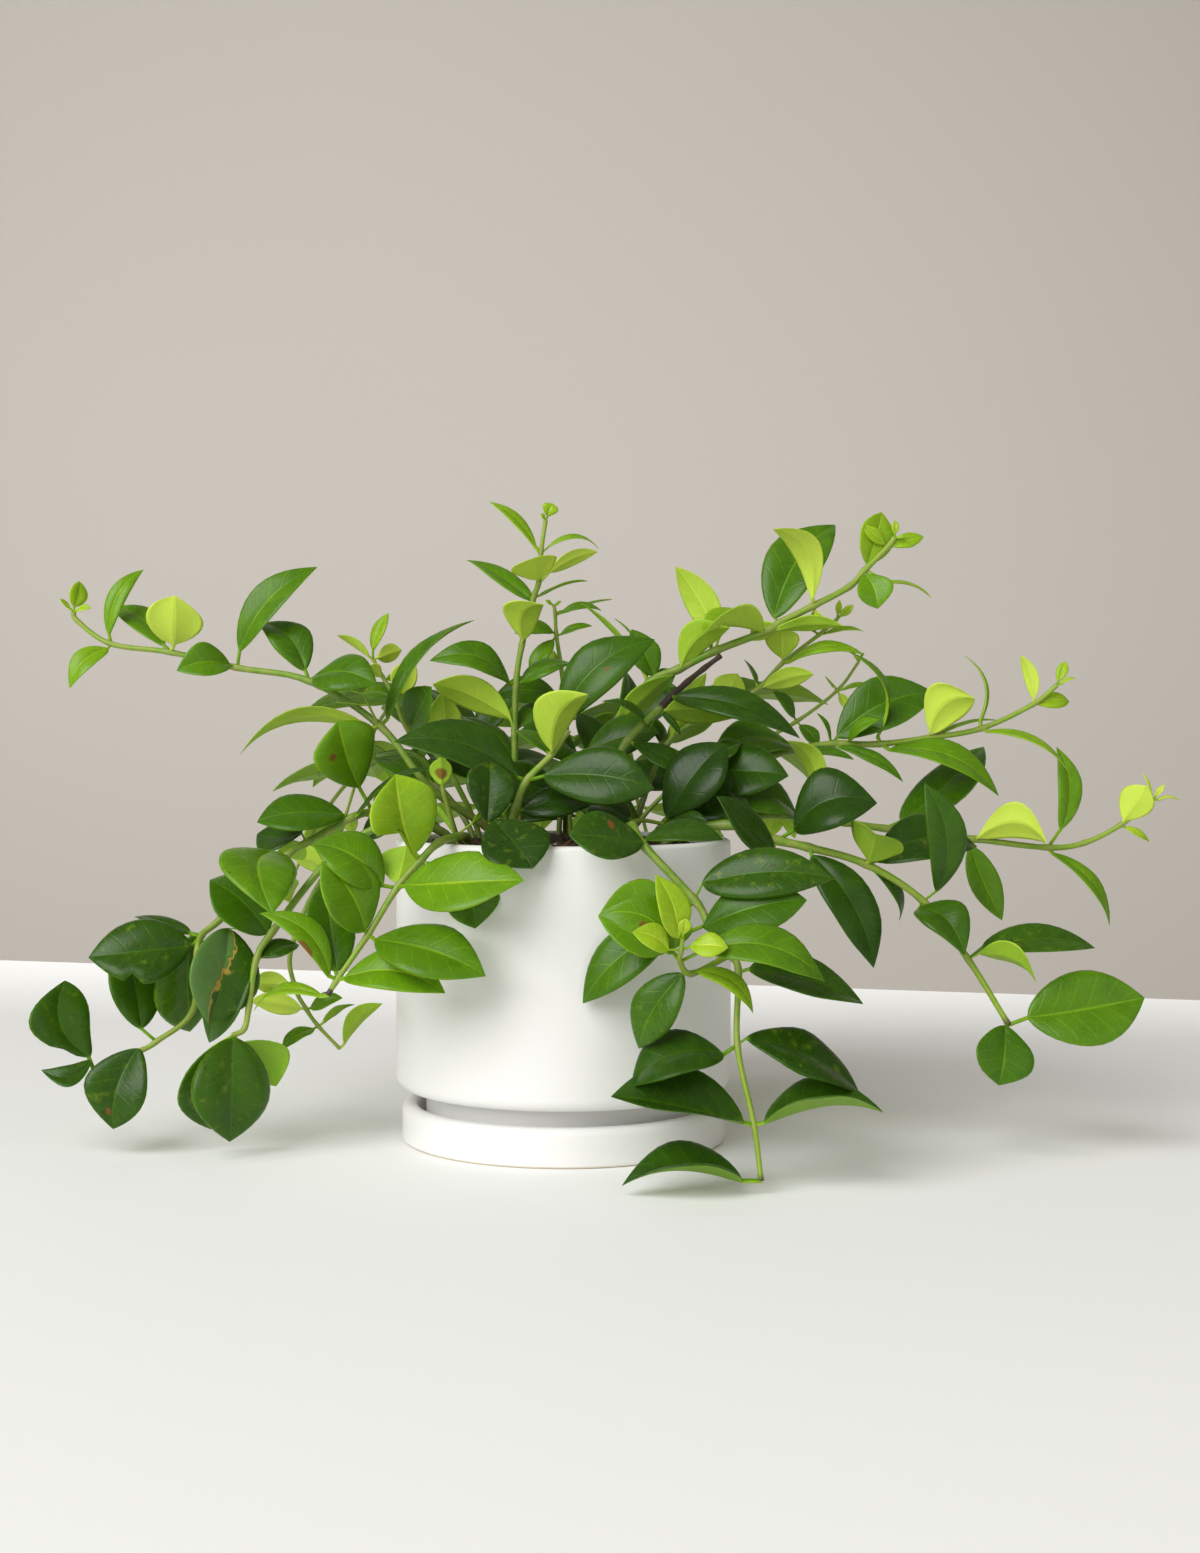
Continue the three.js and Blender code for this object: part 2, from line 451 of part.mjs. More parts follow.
// A closed skin over a row of rings with equal numbers of points, ending in a flat ring or a tip.
// The second half of each ring's sides is split the other way, so that a blade's faces match.
function loft(rings, tip) {
  const points = rings.flat();
  const sides = rings[0].length;
  const faces = [];
  for (let i = 0; i < rings.length - 1; i++)
    for (let j = 0; j < sides; j++) {
      const a = i * sides + j;
      const b = i * sides + ((j + 1) % sides);
      const c = b + sides;
      const d = a + sides;
      faces.push(...(j < sides / 2 ? [a, b, c, a, c, d] : [a, b, d, b, c, d]));
    }
  for (let j = 1; j < sides - 1; j++) faces.push(0, j + 1, j);
  const last = (rings.length - 1) * sides;
  if (tip) {
    points.push(tip);
    for (let j = 0; j < sides; j++) faces.push(last + j, last + ((j + 1) % sides), points.length - 1);
  } else {
    for (let j = 1; j < sides - 1; j++) faces.push(last, last + j, last + j + 1);
  }
  return new THREE.BufferGeometry().setFromPoints(points).setIndex(faces);
}

// A stem's centreline: straight down into the soil from its root, if it has one, then through
// its joints.
function stemLine(root, joints, depthBelow) {
  const points = root.length
    ? [new THREE.Vector3(...root, depthBelow), new THREE.Vector3(...root, SOIL_CROWN), ...joints]
    : joints;
  return new THREE.CatmullRomCurve3(points, false, "catmullrom", 0.5);
}

// A stem tapers from its root to its tip.
function stemRadius(girth, share) {
  return (girth / 2) * (1 - (1 - STEM_TIP_SHARE) * share);
}

// A stem swells at each joint; spare widens it for its hole.
function stemSolid(root, girth, joints, spare = 0) {
  const line = stemLine(root, joints, ROOT_DEPTH - spare);
  const spans = line.points.length - 1;
  const rings = [];
  const addRing = (share, swell) => {
    const middle = line.getPoint(share);
    const along = line.getTangent(share);
    const side = new THREE.Vector3().crossVectors(along, STEM_FACING).normalize();
    const other = new THREE.Vector3().crossVectors(along, side);
    const radius = stemRadius(girth, share) * swell + spare;
    rings.push(
      Array.from({ length: STEM_SIDES }, (_, k) => {
        const turn = (k / STEM_SIDES) * 2 * Math.PI;
        return middle
          .clone()
          .addScaledVector(side, radius * Math.cos(turn))
          .addScaledVector(other, radius * Math.sin(turn));
      }),
    );
  };
  addRing(0, 1);
  for (let span = 0; span < spans; span++) {
    const isLong = line.points[span].distanceTo(line.points[span + 1]) > LONG_SPAN;
    if (isLong) addRing((span + 0.5) / spans, 1);
    addRing((span + 1) / spans, JOINT_SWELL);
  }
  return solidOf(loft(rings));
}

// Half the blade's width at a share of its length: round at the base, pointed at the tip, and 1
// where it is widest. Slimness is the blade's width over its length.
function outline(v, slimness, blunt) {
  const tipPower = TIP_POWER + blunt + TIP_GAIN * Math.max(0, slimness - SLIM);
  const widest = (BASE_POWER / (BASE_POWER + tipPower)) ** (1 / tipPower);
  const shape = (share) => share ** BASE_POWER * (1 - share ** tipPower);
  return shape(v) / shape(widest);
}

// Where a blade starts if its petiole is straight.
function usualBase(joint, tip) {
  const share = PETIOLE_SHARE + PETIOLE_LEAST / tip.distanceTo(joint);
  return joint.clone().lerp(tip, Math.min(PETIOLE_MOST, share));
}

// A leaf: a petiole from inside the stem, and a blade with sharp edges that is thickest along its
// midrib. Upper is square to the blade on its upper side, and bend bows the blade as arch does.
function leafSolid({ joint, base, tip, upper, width, arch, fold = USUAL_FOLD, bend, blunt = 0 }, sink) {
  const reach = tip.distanceTo(joint);
  const along = tip.clone().sub(base).normalize();
  const length = tip.distanceTo(base);
  const side = new THREE.Vector3().crossVectors(along, upper);
  const small = reach < SMALL_LEAF;
  const section = (centre, half, thick, lift) => [
    centre.clone().addScaledVector(side, half).addScaledVector(upper, lift),
    centre.clone().addScaledVector(upper, -thick / 2),
    centre.clone().addScaledVector(side, -half).addScaledVector(upper, lift),
    centre.clone().addScaledVector(upper, thick / 2),
  ];
  const girth = PETIOLE_HALF * (small ? SMALL_PETIOLE : 1);
  const start = joint.clone().addScaledVector(base.clone().sub(joint).normalize(), sink);
  const rings = [section(start, girth, 2 * girth, 0)];
  for (const v of small ? SMALL_SECTIONS : BLADE_SECTIONS) {
    const bow = length * 4 * v * (1 - v);
    const centre = base
      .clone()
      .addScaledVector(along, length * v)
      .addScaledVector(upper, arch * bow)
      .addScaledVector(bend, bow);
    const half = (width / 2) * outline(v, width / length, blunt);
    rings.push(section(centre, half, BLADE_THICKNESS * (small ? SMALL_THINNESS : 1), fold * half));
  }
  return solidOf(loft(rings, tip));
}

// A leaf from its row in SHOOTS.
function seenLeaf(joints, at, depth, row) {
  const [across, up, beyond, width, turn, arch, fold, baseAcross, baseUp, sway = 0, blunt] = row;
  const joint = joints[at];
  const tip = seen(across, up, depth + beyond);
  const hasBase = baseAcross !== undefined;
  const base = hasBase ? seen(baseAcross, baseUp, depth + BASE_DEPTH * beyond) : usualBase(joint, tip);
  const along = tip.clone().sub(base).normalize();
  const toEye = EYE.clone().sub(base.clone().lerp(tip, 0.5)).normalize();
  const facing = toEye.addScaledVector(along, -toEye.dot(along)).normalize();
  const skyward = new THREE.Vector3().crossVectors(along, facing);
  if (skyward.z + SKY_LEAN * skyward.x < 0) skyward.negate();
  const angle = THREE.MathUtils.degToRad(turn);
  const upper = facing.multiplyScalar(Math.cos(angle)).addScaledVector(skyward, Math.sin(angle));
  return { at, joint, base, tip, upper, width, arch, fold, blunt, bend: skyward.multiplyScalar(sway) };
}

// A shoot from its row in SHOOTS.
function seenShoot([name, root, girth, rows]) {
  const joints = rows.map(([across, up, depth]) => seen(across, up, depth));
  const leaves = rows.flatMap(([, , depth, leafRows], at) =>
    leafRows.map((row) => seenLeaf(joints, at, depth, row)),
  );
  return { name, root, girth, joints, leaves };
}

// An even, repeatable scatter of numbers from -1 to 1.
function scatter(n) {
  return 2 * ((n * 0.618034) % 1) - 1;
}

// A shoot of the far side: it arches out of the soil and droops, with a pair of leaves at each
// joint. The first pair spreads widest, and the others point further and further ahead.
function rearShoot(n) {
  const share = n / (REAR_SHOOTS - 1);
  const angle = THREE.MathUtils.degToRad(
    THREE.MathUtils.lerp(REAR_FIRST_ANGLE, REAR_LAST_ANGLE, share) + REAR_ANGLE_SCATTER * scatter(n),
  );
  const out = new THREE.Vector3(Math.cos(angle), Math.sin(angle), 0);
  const aside = new THREE.Vector3(-out.y, out.x, 0);
  const lift = n % 2 ? -REAR_LIFT : REAR_LIFT;
  const end = REAR_END - (REAR_END - REAR_DROOP) * out.y ** 4 + lift;
  const reachShare = THREE.MathUtils.lerp(REAR_SIDE_REACH, 1, out.y);
  const reach = REAR_REACH * reachShare + REAR_REACH_SCATTER * scatter(n + 4);
  const rootPoint = out.clone().multiplyScalar(REAR_ROOT_RADIUS + REAR_ROOT_SCATTER * scatter(n + 2));
  const joints = [];
  for (let j = 1; j <= REAR_JOINTS; j++) {
    const t = j / REAR_JOINTS;
    const rise = 2 * t * (1 - t);
    const height = (1 - t) ** 2 * SOIL_CROWN + rise * (REAR_ARCH + lift) + t ** 2 * end;
    const bend = REAR_BEND * scatter(n + 7) * Math.sin(Math.PI * t);
    joints.push(rootPoint.clone().addScaledVector(out, reach * t).addScaledVector(aside, bend).setZ(height));
  }
  const leaves = [];
  for (let j = 1; j <= REAR_JOINTS; j++) {
    const ahead = joints[Math.min(j, REAR_JOINTS - 1)].clone().sub(joints[Math.max(j - 2, 0)]).normalize();
    for (const hand of [-1, 1]) {
      const [usualLength, usualSpread, rise] = REAR_PAIRS[j - 1];
      const length = usualLength * (1 + REAR_SIZE_SCATTER * scatter(3 * j + hand + n));
      const turned = usualSpread + REAR_SPREAD_SCATTER * scatter(2 * j + 5 * hand + 3 * n);
      const spread = THREE.MathUtils.degToRad(turned);
      const direction = ahead
        .clone()
        .multiplyScalar(Math.cos(spread))
        .addScaledVector(aside, Math.sin(spread) * hand)
        .add(new THREE.Vector3(0, 0, rise))
        .normalize();
      const skyward = new THREE.Vector3(0, 0, 1).addScaledVector(out, REAR_TILT);
      const joint = joints[j - 1];
      const tip = joint.clone().addScaledVector(direction, length);
      leaves.push({
        at: j - 1,
        joint,
        base: usualBase(joint, tip),
        tip,
        upper: skyward.addScaledVector(direction, -skyward.dot(direction)).normalize(),
        width: length * LEAF_SLIMNESS,
        arch: REAR_LEAF_ARCH,
        bend: new THREE.Vector3(),
      });
    }
  }
  return { name: `stem_rear_${n + 1}`, root: [rootPoint.x, rootPoint.y], girth: REAR_GIRTH, joints, leaves };
}

function shootSolid({ root, girth, joints, leaves }) {
  const below = root.length;
  const grown = leaves.map((leaf) => {
    const isTip = leaf.at === joints.length - 1;
    const share = (below + leaf.at) / (below + joints.length - 1);
    return leafSolid(leaf, (isTip ? -1 : 1) * PETIOLE_SINK * stemRadius(girth, share));
  });
  return wasm.Manifold.union([stemSolid(root, girth, joints), ...grown]);
}

// Round pieces are turned from an outline of [radius, height] that closes on itself.
function turned(outlinePoints) {
  const closed = [...outlinePoints, outlinePoints[0]].map(([r, z]) => new THREE.Vector2(r, z));
  return new THREE.LatheGeometry(closed, TURNS).rotateX(Math.PI / 2);
}

function mesh(name, geometry, color, roughness) {
  const finish = new THREE.MeshStandardMaterial({ color, roughness, metalness: 0 });
  const made = new THREE.Mesh(geometry, finish);
  made.name = name;
  return made;
}

function potGeometry() {
  const bottom = SAUCER_FLOOR + SEAT_GAP;
  const floor = bottom + FLOOR_THICKNESS;
  const inside = POT_RADIUS - POT_WALL;
  return turned([
    [DRAIN_RADIUS, bottom],
    [FOOT_RADIUS - 1.5, bottom],
    [FOOT_RADIUS, bottom + 1.5],
    [FOOT_RADIUS, POT_SHOULDER],
    [POT_RADIUS - 4.5, POT_SHOULDER],
    [POT_RADIUS - 1.3, POT_SHOULDER + 1.5],
    [POT_RADIUS, POT_SHOULDER + 5],
    [POT_RADIUS, POT_TOP - 1.8],
    [POT_RADIUS - 1.8, POT_TOP],
    [inside + 1.8, POT_TOP],
    [inside, POT_TOP - 1.8],
    [inside, POT_SHOULDER + 9],
    [FOOT_RADIUS - POT_WALL, POT_SHOULDER + 2],
    [FOOT_RADIUS - POT_WALL, floor],
    [DRAIN_RADIUS, floor],
  ]);
}

function saucerGeometry() {
  const inside = SAUCER_RADIUS - SAUCER_WALL;
  return turned([
    [0, 0],
    [SAUCER_RADIUS - 1.5, 0],
    [SAUCER_RADIUS, 1.5],
    [SAUCER_RADIUS, SAUCER_TOP - 4.5],
    [SAUCER_RADIUS - 1.2, SAUCER_TOP - 1.5],
    [SAUCER_RADIUS - 3.4, SAUCER_TOP],
    [inside + 1, SAUCER_TOP - 0.7],
    [inside, SAUCER_TOP - 2.4],
    [inside - 1.2, SAUCER_FLOOR + 2.5],
    [inside - 2.6, SAUCER_FLOOR],
    [0, SAUCER_FLOOR],
  ]);
}

// The bark mix fills the pot, heaped a little in the middle, with a plain hole for every stem.
function soilGeometry() {
  const bottom = SAUCER_FLOOR + SEAT_GAP + FLOOR_THICKNESS + SEAT_GAP;
  const edge = POT_RADIUS - POT_WALL - SEAT_GAP;
  const heap = turned([
    [0, bottom],
    [FOOT_RADIUS - POT_WALL - SEAT_GAP, bottom],
    [FOOT_RADIUS - POT_WALL - SEAT_GAP, POT_SHOULDER + 2 + SEAT_GAP],
    [edge, POT_SHOULDER + 9 + SEAT_GAP],
    [edge, SOIL_EDGE],
    [edge * 0.72, SOIL_EDGE + 2.5],
    [edge * 0.4, SOIL_CROWN - 0.8],
    [0, SOIL_CROWN],
  ]);
  const holes = shoots
    .filter(({ root }) => root.length)
    .map(({ root, girth, joints }) => stemSolid(root, girth, joints, SEAT_GAP));
  return geometryOf(solidOf(weld(heap)).subtract(wasm.Manifold.union(holes)));
}

// Joins the vertices that a turned outline repeats along its seam and on its axis.
function weld(geometry) {
  const places = new Map();
  const position = geometry.getAttribute("position");
  const points = [];
  const renumbered = [];
  for (let i = 0; i < position.count; i++) {
    const point = new THREE.Vector3().fromBufferAttribute(position, i);
    const key = [point.x, point.y, point.z].map((value) => Math.round(value * 1000)).join();
    if (!places.has(key)) places.set(key, points.push(point) - 1);
    renumbered.push(places.get(key));
  }
  const faces = [];
  for (let i = 0; i < geometry.index.count; i += 3) {
    const [a, b, c] = [0, 1, 2].map((k) => renumbered[geometry.index.getX(i + k)]);
    if (a !== b && b !== c && c !== a) faces.push(a, b, c);
  }
  return new THREE.BufferGeometry().setFromPoints(points).setIndex(faces);
}

const shoots = [
  ...SHOOTS.map(seenShoot),
  ...Array.from({ length: REAR_SHOOTS }, (_, n) => rearShoot(n)),
];

const plant = new THREE.Group();
plant.add(mesh("pot", potGeometry(), 0xf3f1ee, 0.45));
plant.add(mesh("saucer", saucerGeometry(), 0xf3f1ee, 0.45));
plant.add(mesh("soil", soilGeometry(), 0x35271e, 0.95));
for (const name of new Set(shoots.map((shoot) => shoot.name))) {
  const solids = shoots.filter((shoot) => shoot.name === name).map(shootSolid);
  plant.add(mesh(name, geometryOf(wasm.Manifold.union(solids)), 0x4f7f2c, 0.4));
}

export default plant;
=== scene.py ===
# A potted lipstick plant: leafy trailing stems in bark mix, in a white ceramic pot on its saucer.
import math
import random
import bpy
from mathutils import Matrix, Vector, noise


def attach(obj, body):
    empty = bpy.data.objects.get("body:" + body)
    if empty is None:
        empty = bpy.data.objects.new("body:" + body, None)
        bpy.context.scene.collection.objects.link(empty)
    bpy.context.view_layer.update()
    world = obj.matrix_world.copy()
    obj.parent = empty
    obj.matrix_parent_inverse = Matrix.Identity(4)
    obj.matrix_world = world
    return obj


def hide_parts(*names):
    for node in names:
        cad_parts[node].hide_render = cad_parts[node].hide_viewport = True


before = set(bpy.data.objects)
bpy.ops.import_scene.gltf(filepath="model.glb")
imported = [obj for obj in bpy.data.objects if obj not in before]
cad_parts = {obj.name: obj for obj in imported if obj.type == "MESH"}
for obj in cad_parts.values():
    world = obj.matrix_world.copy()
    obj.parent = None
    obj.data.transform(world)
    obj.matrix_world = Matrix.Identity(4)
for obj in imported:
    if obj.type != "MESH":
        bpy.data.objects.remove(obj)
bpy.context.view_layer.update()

# The camera looks level at the pot from in front, a little above its rim, as a person
# sitting at the table would. The plant spreads about its axis, so the picture is moved up.
EYE = Vector((0, -854, 167))  # mm
LENS = 47.13  # mm, on a sensor 36 wide
SHIFT = (0.0235, -0.0248)  # of the picture, in shares of its height


def new_object(name, data):
    """An object of the scene, at the origin."""
    thing = bpy.data.objects.new(name, data)
    bpy.context.collection.objects.link(thing)
    return thing


camera = new_object("camera", bpy.data.cameras.new("camera"))
camera.location = EYE / 1000
camera.rotation_euler = (math.radians(90), 0, 0)
camera.data.lens = LENS
camera.data.sensor_width = 36
camera.data.shift_x, camera.data.shift_y = SHIFT
bpy.context.scene.camera = camera


# The pot: slip-cast stoneware with a white satin glaze, a straight wall with a softly rounded
# rim, and a narrower foot with a drainage hole that drops into the saucer.
# All sizes are in mm.
POT_RADIUS = 70
POT_TOP = 125
POT_WALL = 5.5
POT_SHOULDER = 22
INNER_FOOT = 24
INNER_SHOULDER = 31
FOOT_RADIUS = 57.5
FLOOR_THICKNESS = 7
DRAIN_RADIUS = 8
SAUCER_FLOOR = 4.5
SEAT_GAP = 0.3
CERAMIC_TURNS = 160
CERAMIC_ALBEDO = (0.808, 0.804, 0.79)
BARE_CLAY = (0.72, 0.6, 0.42)


def feed(tree, node, inputs):
    """Links a node's inputs to terms and outputs, or sets them to plain values."""
    for name, value in inputs.items():
        if isinstance(value, Term):
            value = value.socket
        if isinstance(value, bpy.types.NodeSocket):
            tree.links.new(value, node.inputs[name])
        else:
            node.inputs[name].default_value = value


def new_node(tree, kind, inputs=None, **settings):
    """A node with its settings set and its inputs fed."""
    node = tree.nodes.new(kind)
    for name, value in settings.items():
        setattr(node, name, value)
    feed(tree, node, inputs or {})
    return node


class Term:
    """A number in a node tree. Sums, products and powers of terms become Math nodes."""

    def __init__(self, tree, socket):
        self.tree = tree
        self.socket = socket

    def math(self, operation, *others):
        numbers = dict(enumerate((self, *others)))
        node = new_node(self.tree, "ShaderNodeMath", numbers, operation=operation)
        return Term(self.tree, node.outputs[0])

    def __add__(self, other):
        return self.math("ADD", other)

    def __sub__(self, other):
        return self.math("SUBTRACT", other)

    def __rsub__(self, other):
        return self.math("MULTIPLY_ADD", -1.0, other)

    def __mul__(self, other):
        return self.math("MULTIPLY", other)

    def __truediv__(self, other):
        return self.math("DIVIDE", other)

    def __pow__(self, other):
        return self.math("POWER", other)

    __radd__ = __add__
    __rmul__ = __mul__

    def between(self, low, high):
        """0 below low, 1 above high, and a smooth rise between them."""
        ends = {"Value": self, "From Min": low, "From Max": high}
        node = new_node(self.tree, "ShaderNodeMapRange", ends, interpolation_type="SMOOTHSTEP")
        return Term(self.tree, node.outputs["Result"])


def parts(tree, vector):
    """A vector's three parts, as terms."""
    split = new_node(tree, "ShaderNodeSeparateXYZ", {0: vector})
    return [Term(tree, part) for part in split.outputs]


def coloured(rgb):
    return (*rgb, 1.0)


def new_finish(name):
    """A material with one Principled shader, which the caller's nodes feed."""
    finish = bpy.data.materials.new(name)
    finish.use_nodes = True
    return finish, finish.node_tree, finish.node_tree.nodes["Principled BSDF"]


def object_place(tree):
    return tree.nodes.new("ShaderNodeTexCoord").outputs["Object"]


def grain(tree, place, scale, detail=3.0, roughness=0.5):
    """Soft noise from 0 to 1 over a place, at so many lumps a metre."""
    look = {"Vector": place, "Scale": scale, "Detail": detail, "Roughness": roughness}
    return Term(tree, new_node(tree, "ShaderNodeTexNoise", look).outputs["Fac"])


def blended(tree, share, *colours):
    """One colour turning into another as share goes from 0 to 1."""
    first, second = (coloured(colour) if isinstance(colour, tuple) else colour for colour in colours)
    inputs = {"Factor": share, "A": first, "B": second}
    return new_node(tree, "ShaderNodeMix", inputs, data_type="RGBA").outputs["Result"]


def relief(tree, height, distance, strength):
    """The normal of a surface with relief, its height in shares of distance in metres."""
    inputs = {"Height": height, "Distance": distance, "Strength": strength}
    return new_node(tree, "ShaderNodeBump", inputs).outputs["Normal"]


def glaze():
    """White satin glaze: a hint of pooling and pinholes, and bare clay on the foot ring."""
    finish, tree, shader = new_finish("white_glaze")
    place = object_place(tree)
    clouds = grain(tree, place, 22, 2)
    pinholes = grain(tree, place, 900, 1)
    bare = 1 - parts(tree, place)[2].between(0.0004, 0.0011)
    white = blended(tree, clouds, CERAMIC_ALBEDO, tuple(0.965 * c for c in CERAMIC_ALBEDO))
    feed(tree, shader, {
        "Base Color": blended(tree, bare * 0.8, white, BARE_CLAY),
        "Roughness": clouds * 0.12 + pinholes * 0.05 + 0.28 + bare * 0.3,
        "Normal": relief(tree, clouds * 0.8 + pinholes * 0.06, 0.0004, 0.6),
    })
    return finish


def rounded(profile, corners, steps=6):
    """An outline with some corners turned into arcs: corners gives {index: radius}, in mm."""
    made = []
    count = len(profile)
    for index, point in enumerate(profile):
        here = Vector(point)
        radius = corners.get(index, 0)
        if not radius:
            made.append(here)
            continue
        back = (Vector(profile[index - 1]) - here).normalized()
        ahead = (Vector(profile[(index + 1) % count]) - here).normalized()
        half = back.angle(ahead) / 2
        centre = here + (back + ahead).normalized() * radius / math.sin(half)
        start = here + back * radius / math.tan(half) - centre
        end = here + ahead * radius / math.tan(half) - centre
        swing = start.angle_signed(end)
        for step in range(steps + 1):
            turn = -swing * step / steps
            made.append(centre + Vector((
                start.x * math.cos(turn) - start.y * math.sin(turn),
                start.x * math.sin(turn) + start.y * math.cos(turn),
            )))
    return made


def turned(name, profile, turns):
    """A piece turned on the pot's axis from a closed outline of (radius, height) in mm."""
    points = []
    rings = []
    for radius, height in profile:
        if radius < 0.001:
            rings.append([len(points)] * turns)
            points.append((0, 0, height / 1000))
            continue
        rings.append(list(range(len(points), len(points) + turns)))
        for step in range(turns):
            angle = 2 * math.pi * step / turns
            x, y = radius * math.cos(angle) / 1000, radius * math.sin(angle) / 1000
            points.append((x, y, height / 1000))
    faces = []
    for low, high in zip(rings, rings[1:] + rings[:1]):
        for step in range(turns):
            following = (step + 1) % turns
            corners = dict.fromkeys((low[step], low[following], high[following], high[step]))
            if len(corners) > 2:
                faces.append(tuple(corners))
    mesh = bpy.data.meshes.new(name)
    mesh.from_pydata(points, [], faces)
    mesh.shade_smooth()
    mesh.update()
    return new_object(name, mesh)


pot_bottom = SAUCER_FLOOR + SEAT_GAP
pot_floor = pot_bottom + FLOOR_THICKNESS
pot_inside = POT_RADIUS - POT_WALL
pot_outline = rounded(
    [
        (DRAIN_RADIUS, pot_bottom),
        (FOOT_RADIUS, pot_bottom),
        (FOOT_RADIUS, POT_SHOULDER),
        (POT_RADIUS, POT_SHOULDER),
        (POT_RADIUS, POT_TOP),
        (pot_inside, POT_TOP),
        (pot_inside, INNER_SHOULDER),
        (FOOT_RADIUS - POT_WALL, INNER_FOOT),
        (FOOT_RADIUS - POT_WALL, pot_floor),
        (DRAIN_RADIUS, pot_floor),
    ],
    {0: 1, 1: 1.5, 2: 1.2, 3: 5, 4: 2, 5: 2, 6: 3, 7: 2, 8: 3, 9: 1.5},
)
pot = turned("ceramic_pot", pot_outline, CERAMIC_TURNS)
white_glaze = glaze()
pot.data.materials.append(white_glaze)
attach(pot, "root")
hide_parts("pot")


# The saucer: the pot's matching dish, cast and glazed the same way, with a thick rounded rim
# and a flat underside that is left unglazed where it stood in the kiln.
SAUCER_RADIUS = 67.5
SAUCER_TOP = 15.5
SAUCER_WALL = 6.3

saucer_inside = SAUCER_RADIUS - SAUCER_WALL
saucer_outline = rounded(
    [
        (0, 0),
        (SAUCER_RADIUS, 0),
        (SAUCER_RADIUS, SAUCER_TOP),
        (saucer_inside, SAUCER_TOP),
        (saucer_inside - 2, SAUCER_FLOOR),
        (0, SAUCER_FLOOR),
    ],
    {1: 1.6, 2: 3.4, 3: 2.2, 4: 2.5},
)
saucer = turned("ceramic_saucer", saucer_outline, CERAMIC_TURNS)
saucer.data.materials.append(white_glaze)
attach(saucer, "root")
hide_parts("saucer")


# The bark mix: chopped bark, peat crumbs and a few white perlite grains, filled loose to just
# under the rim and heaped a little in the middle, where the stems are rooted.
SOIL_EDGE = 120
SOIL_CROWN = 124.5
SOIL_TURNS = 120
SOIL_RINGS = 44
CRUMB_RELIEF = 1.6
CRUMBS_PER_METRE = 260
SHELTER = 4  # the mix is smoother this close to the pot's wall
EDGE_CLEAR = 5.5  # no chips lie this close to it
CHIPS_PER_AREA = 52000  # per square metre
GRAINS_PER_AREA = 2600
# Name, what its density is called, least and most size, and the size and seed of its shape.
STREWN = (
    ("Chip", "Chips per area", 0.55, 1.25, (9, 5.5, 2.2), 1),
    ("Splinter", "Chips per area", 0.5, 1.3, (11, 2.4, 1.6), 2),
    ("Grain", "Grains per area", 0.6, 1.2, (3.2, 2.8, 2.6), 3),
)
PERLITE_SHADE = 2.0  # bark has a shade from 0 to 1
STREWN_SEEDS = dict(place=4, turn=20, size=30, shade=40)
PERLITE_WHITE = (0.62, 0.6, 0.55)
BARK_BROWNS = (
    (0, (0.012, 0.009, 0.006)),
    (0.35, (0.035, 0.02, 0.012)),
    (0.7, (0.1, 0.042, 0.02)),
    (1, (0.17, 0.085, 0.04)),
)


def soil_body(name):
    """The closed mass of mix: the pot's inside below, and a rough crumbled heap above."""
    edge = POT_RADIUS - POT_WALL - SEAT_GAP
    foot = FOOT_RADIUS - POT_WALL - SEAT_GAP
    crown, slope = (edge * 0.4, SOIL_CROWN - 0.8), (edge * 0.72, SOIL_EDGE + 2.5)
    slopes = [(0, SOIL_CROWN), crown, slope, (edge, SOIL_EDGE)]
    outline = []
    for (inner, top), (outer, lower) in zip(slopes, slopes[1:]):
        pieces = max(1, round((outer - inner) / edge * SOIL_RINGS))
        for step in range(pieces):
            share = step / pieces
            outline.append((inner + (outer - inner) * share, top + (lower - top) * share))
    bottom = pot_floor + SEAT_GAP
    outline += [
        (edge, SOIL_EDGE),
        (edge, INNER_SHOULDER + SEAT_GAP),
        (foot, INNER_FOOT + SEAT_GAP),
        (foot, bottom),
        (0, bottom),
    ]
    body = turned(name, outline[::-1], SOIL_TURNS)
    for vertex in body.data.vertices:
        x, y, z = vertex.co
        if z * 1000 < SOIL_EDGE - 0.01:
            continue
        rough = noise.fractal(Vector((x, y, 0)) * CRUMBS_PER_METRE, 0.6, 2.1, 4)
        shelter = min(1, (edge / 1000 - math.hypot(x, y)) / (SHELTER / 1000))
        vertex.co.z = z + (rough - 0.6) * CRUMB_RELIEF / 1000 * shelter
    return body


def flake(name, size, seed):
    """A chip of bark: a small broken slab, longer than wide."""
    draw = random.Random(seed)
    length, width, height = size
    points = []
    for x in (-1, 0.1, 1):
        for y, z in ((-1, -1), (1, -1), (1, 1), (-1, 1)):
            taper = 0.62 if abs(x) == 1 else 1
            points.append((
                length / 2 * (x + draw.uniform(-0.16, 0.16)) / 1000,
                width / 2 * taper * (y + draw.uniform(-0.3, 0.3)) / 1000,
                height / 2 * taper * (z + draw.uniform(-0.35, 0.35)) / 1000,
            ))
    faces = [(0, 3, 2, 1), (8, 9, 10, 11)]
    for ring in (0, 4):
        for side in range(4):
            following = (side + 1) % 4
            faces.append((ring + side, ring + following, ring + 4 + following, ring + 4 + side))
    mesh = bpy.data.meshes.new(name)
    mesh.from_pydata(points, [], faces)
    mesh.update()
    return bpy.data.objects.new(name, mesh)


def new_growth(name, result, given):
    """An empty tree of geometry nodes with the given inputs, as {name: kind}, and one result."""
    tree = bpy.data.node_groups.new(name, "GeometryNodeTree")
    for label, kind in given.items():
        tree.interface.new_socket(name=label, in_out="INPUT", socket_type="NodeSocket" + kind)
    tree.interface.new_socket(name=result, in_out="OUTPUT", socket_type="NodeSocketGeometry")
    return tree, tree.nodes.new("NodeGroupInput").outputs


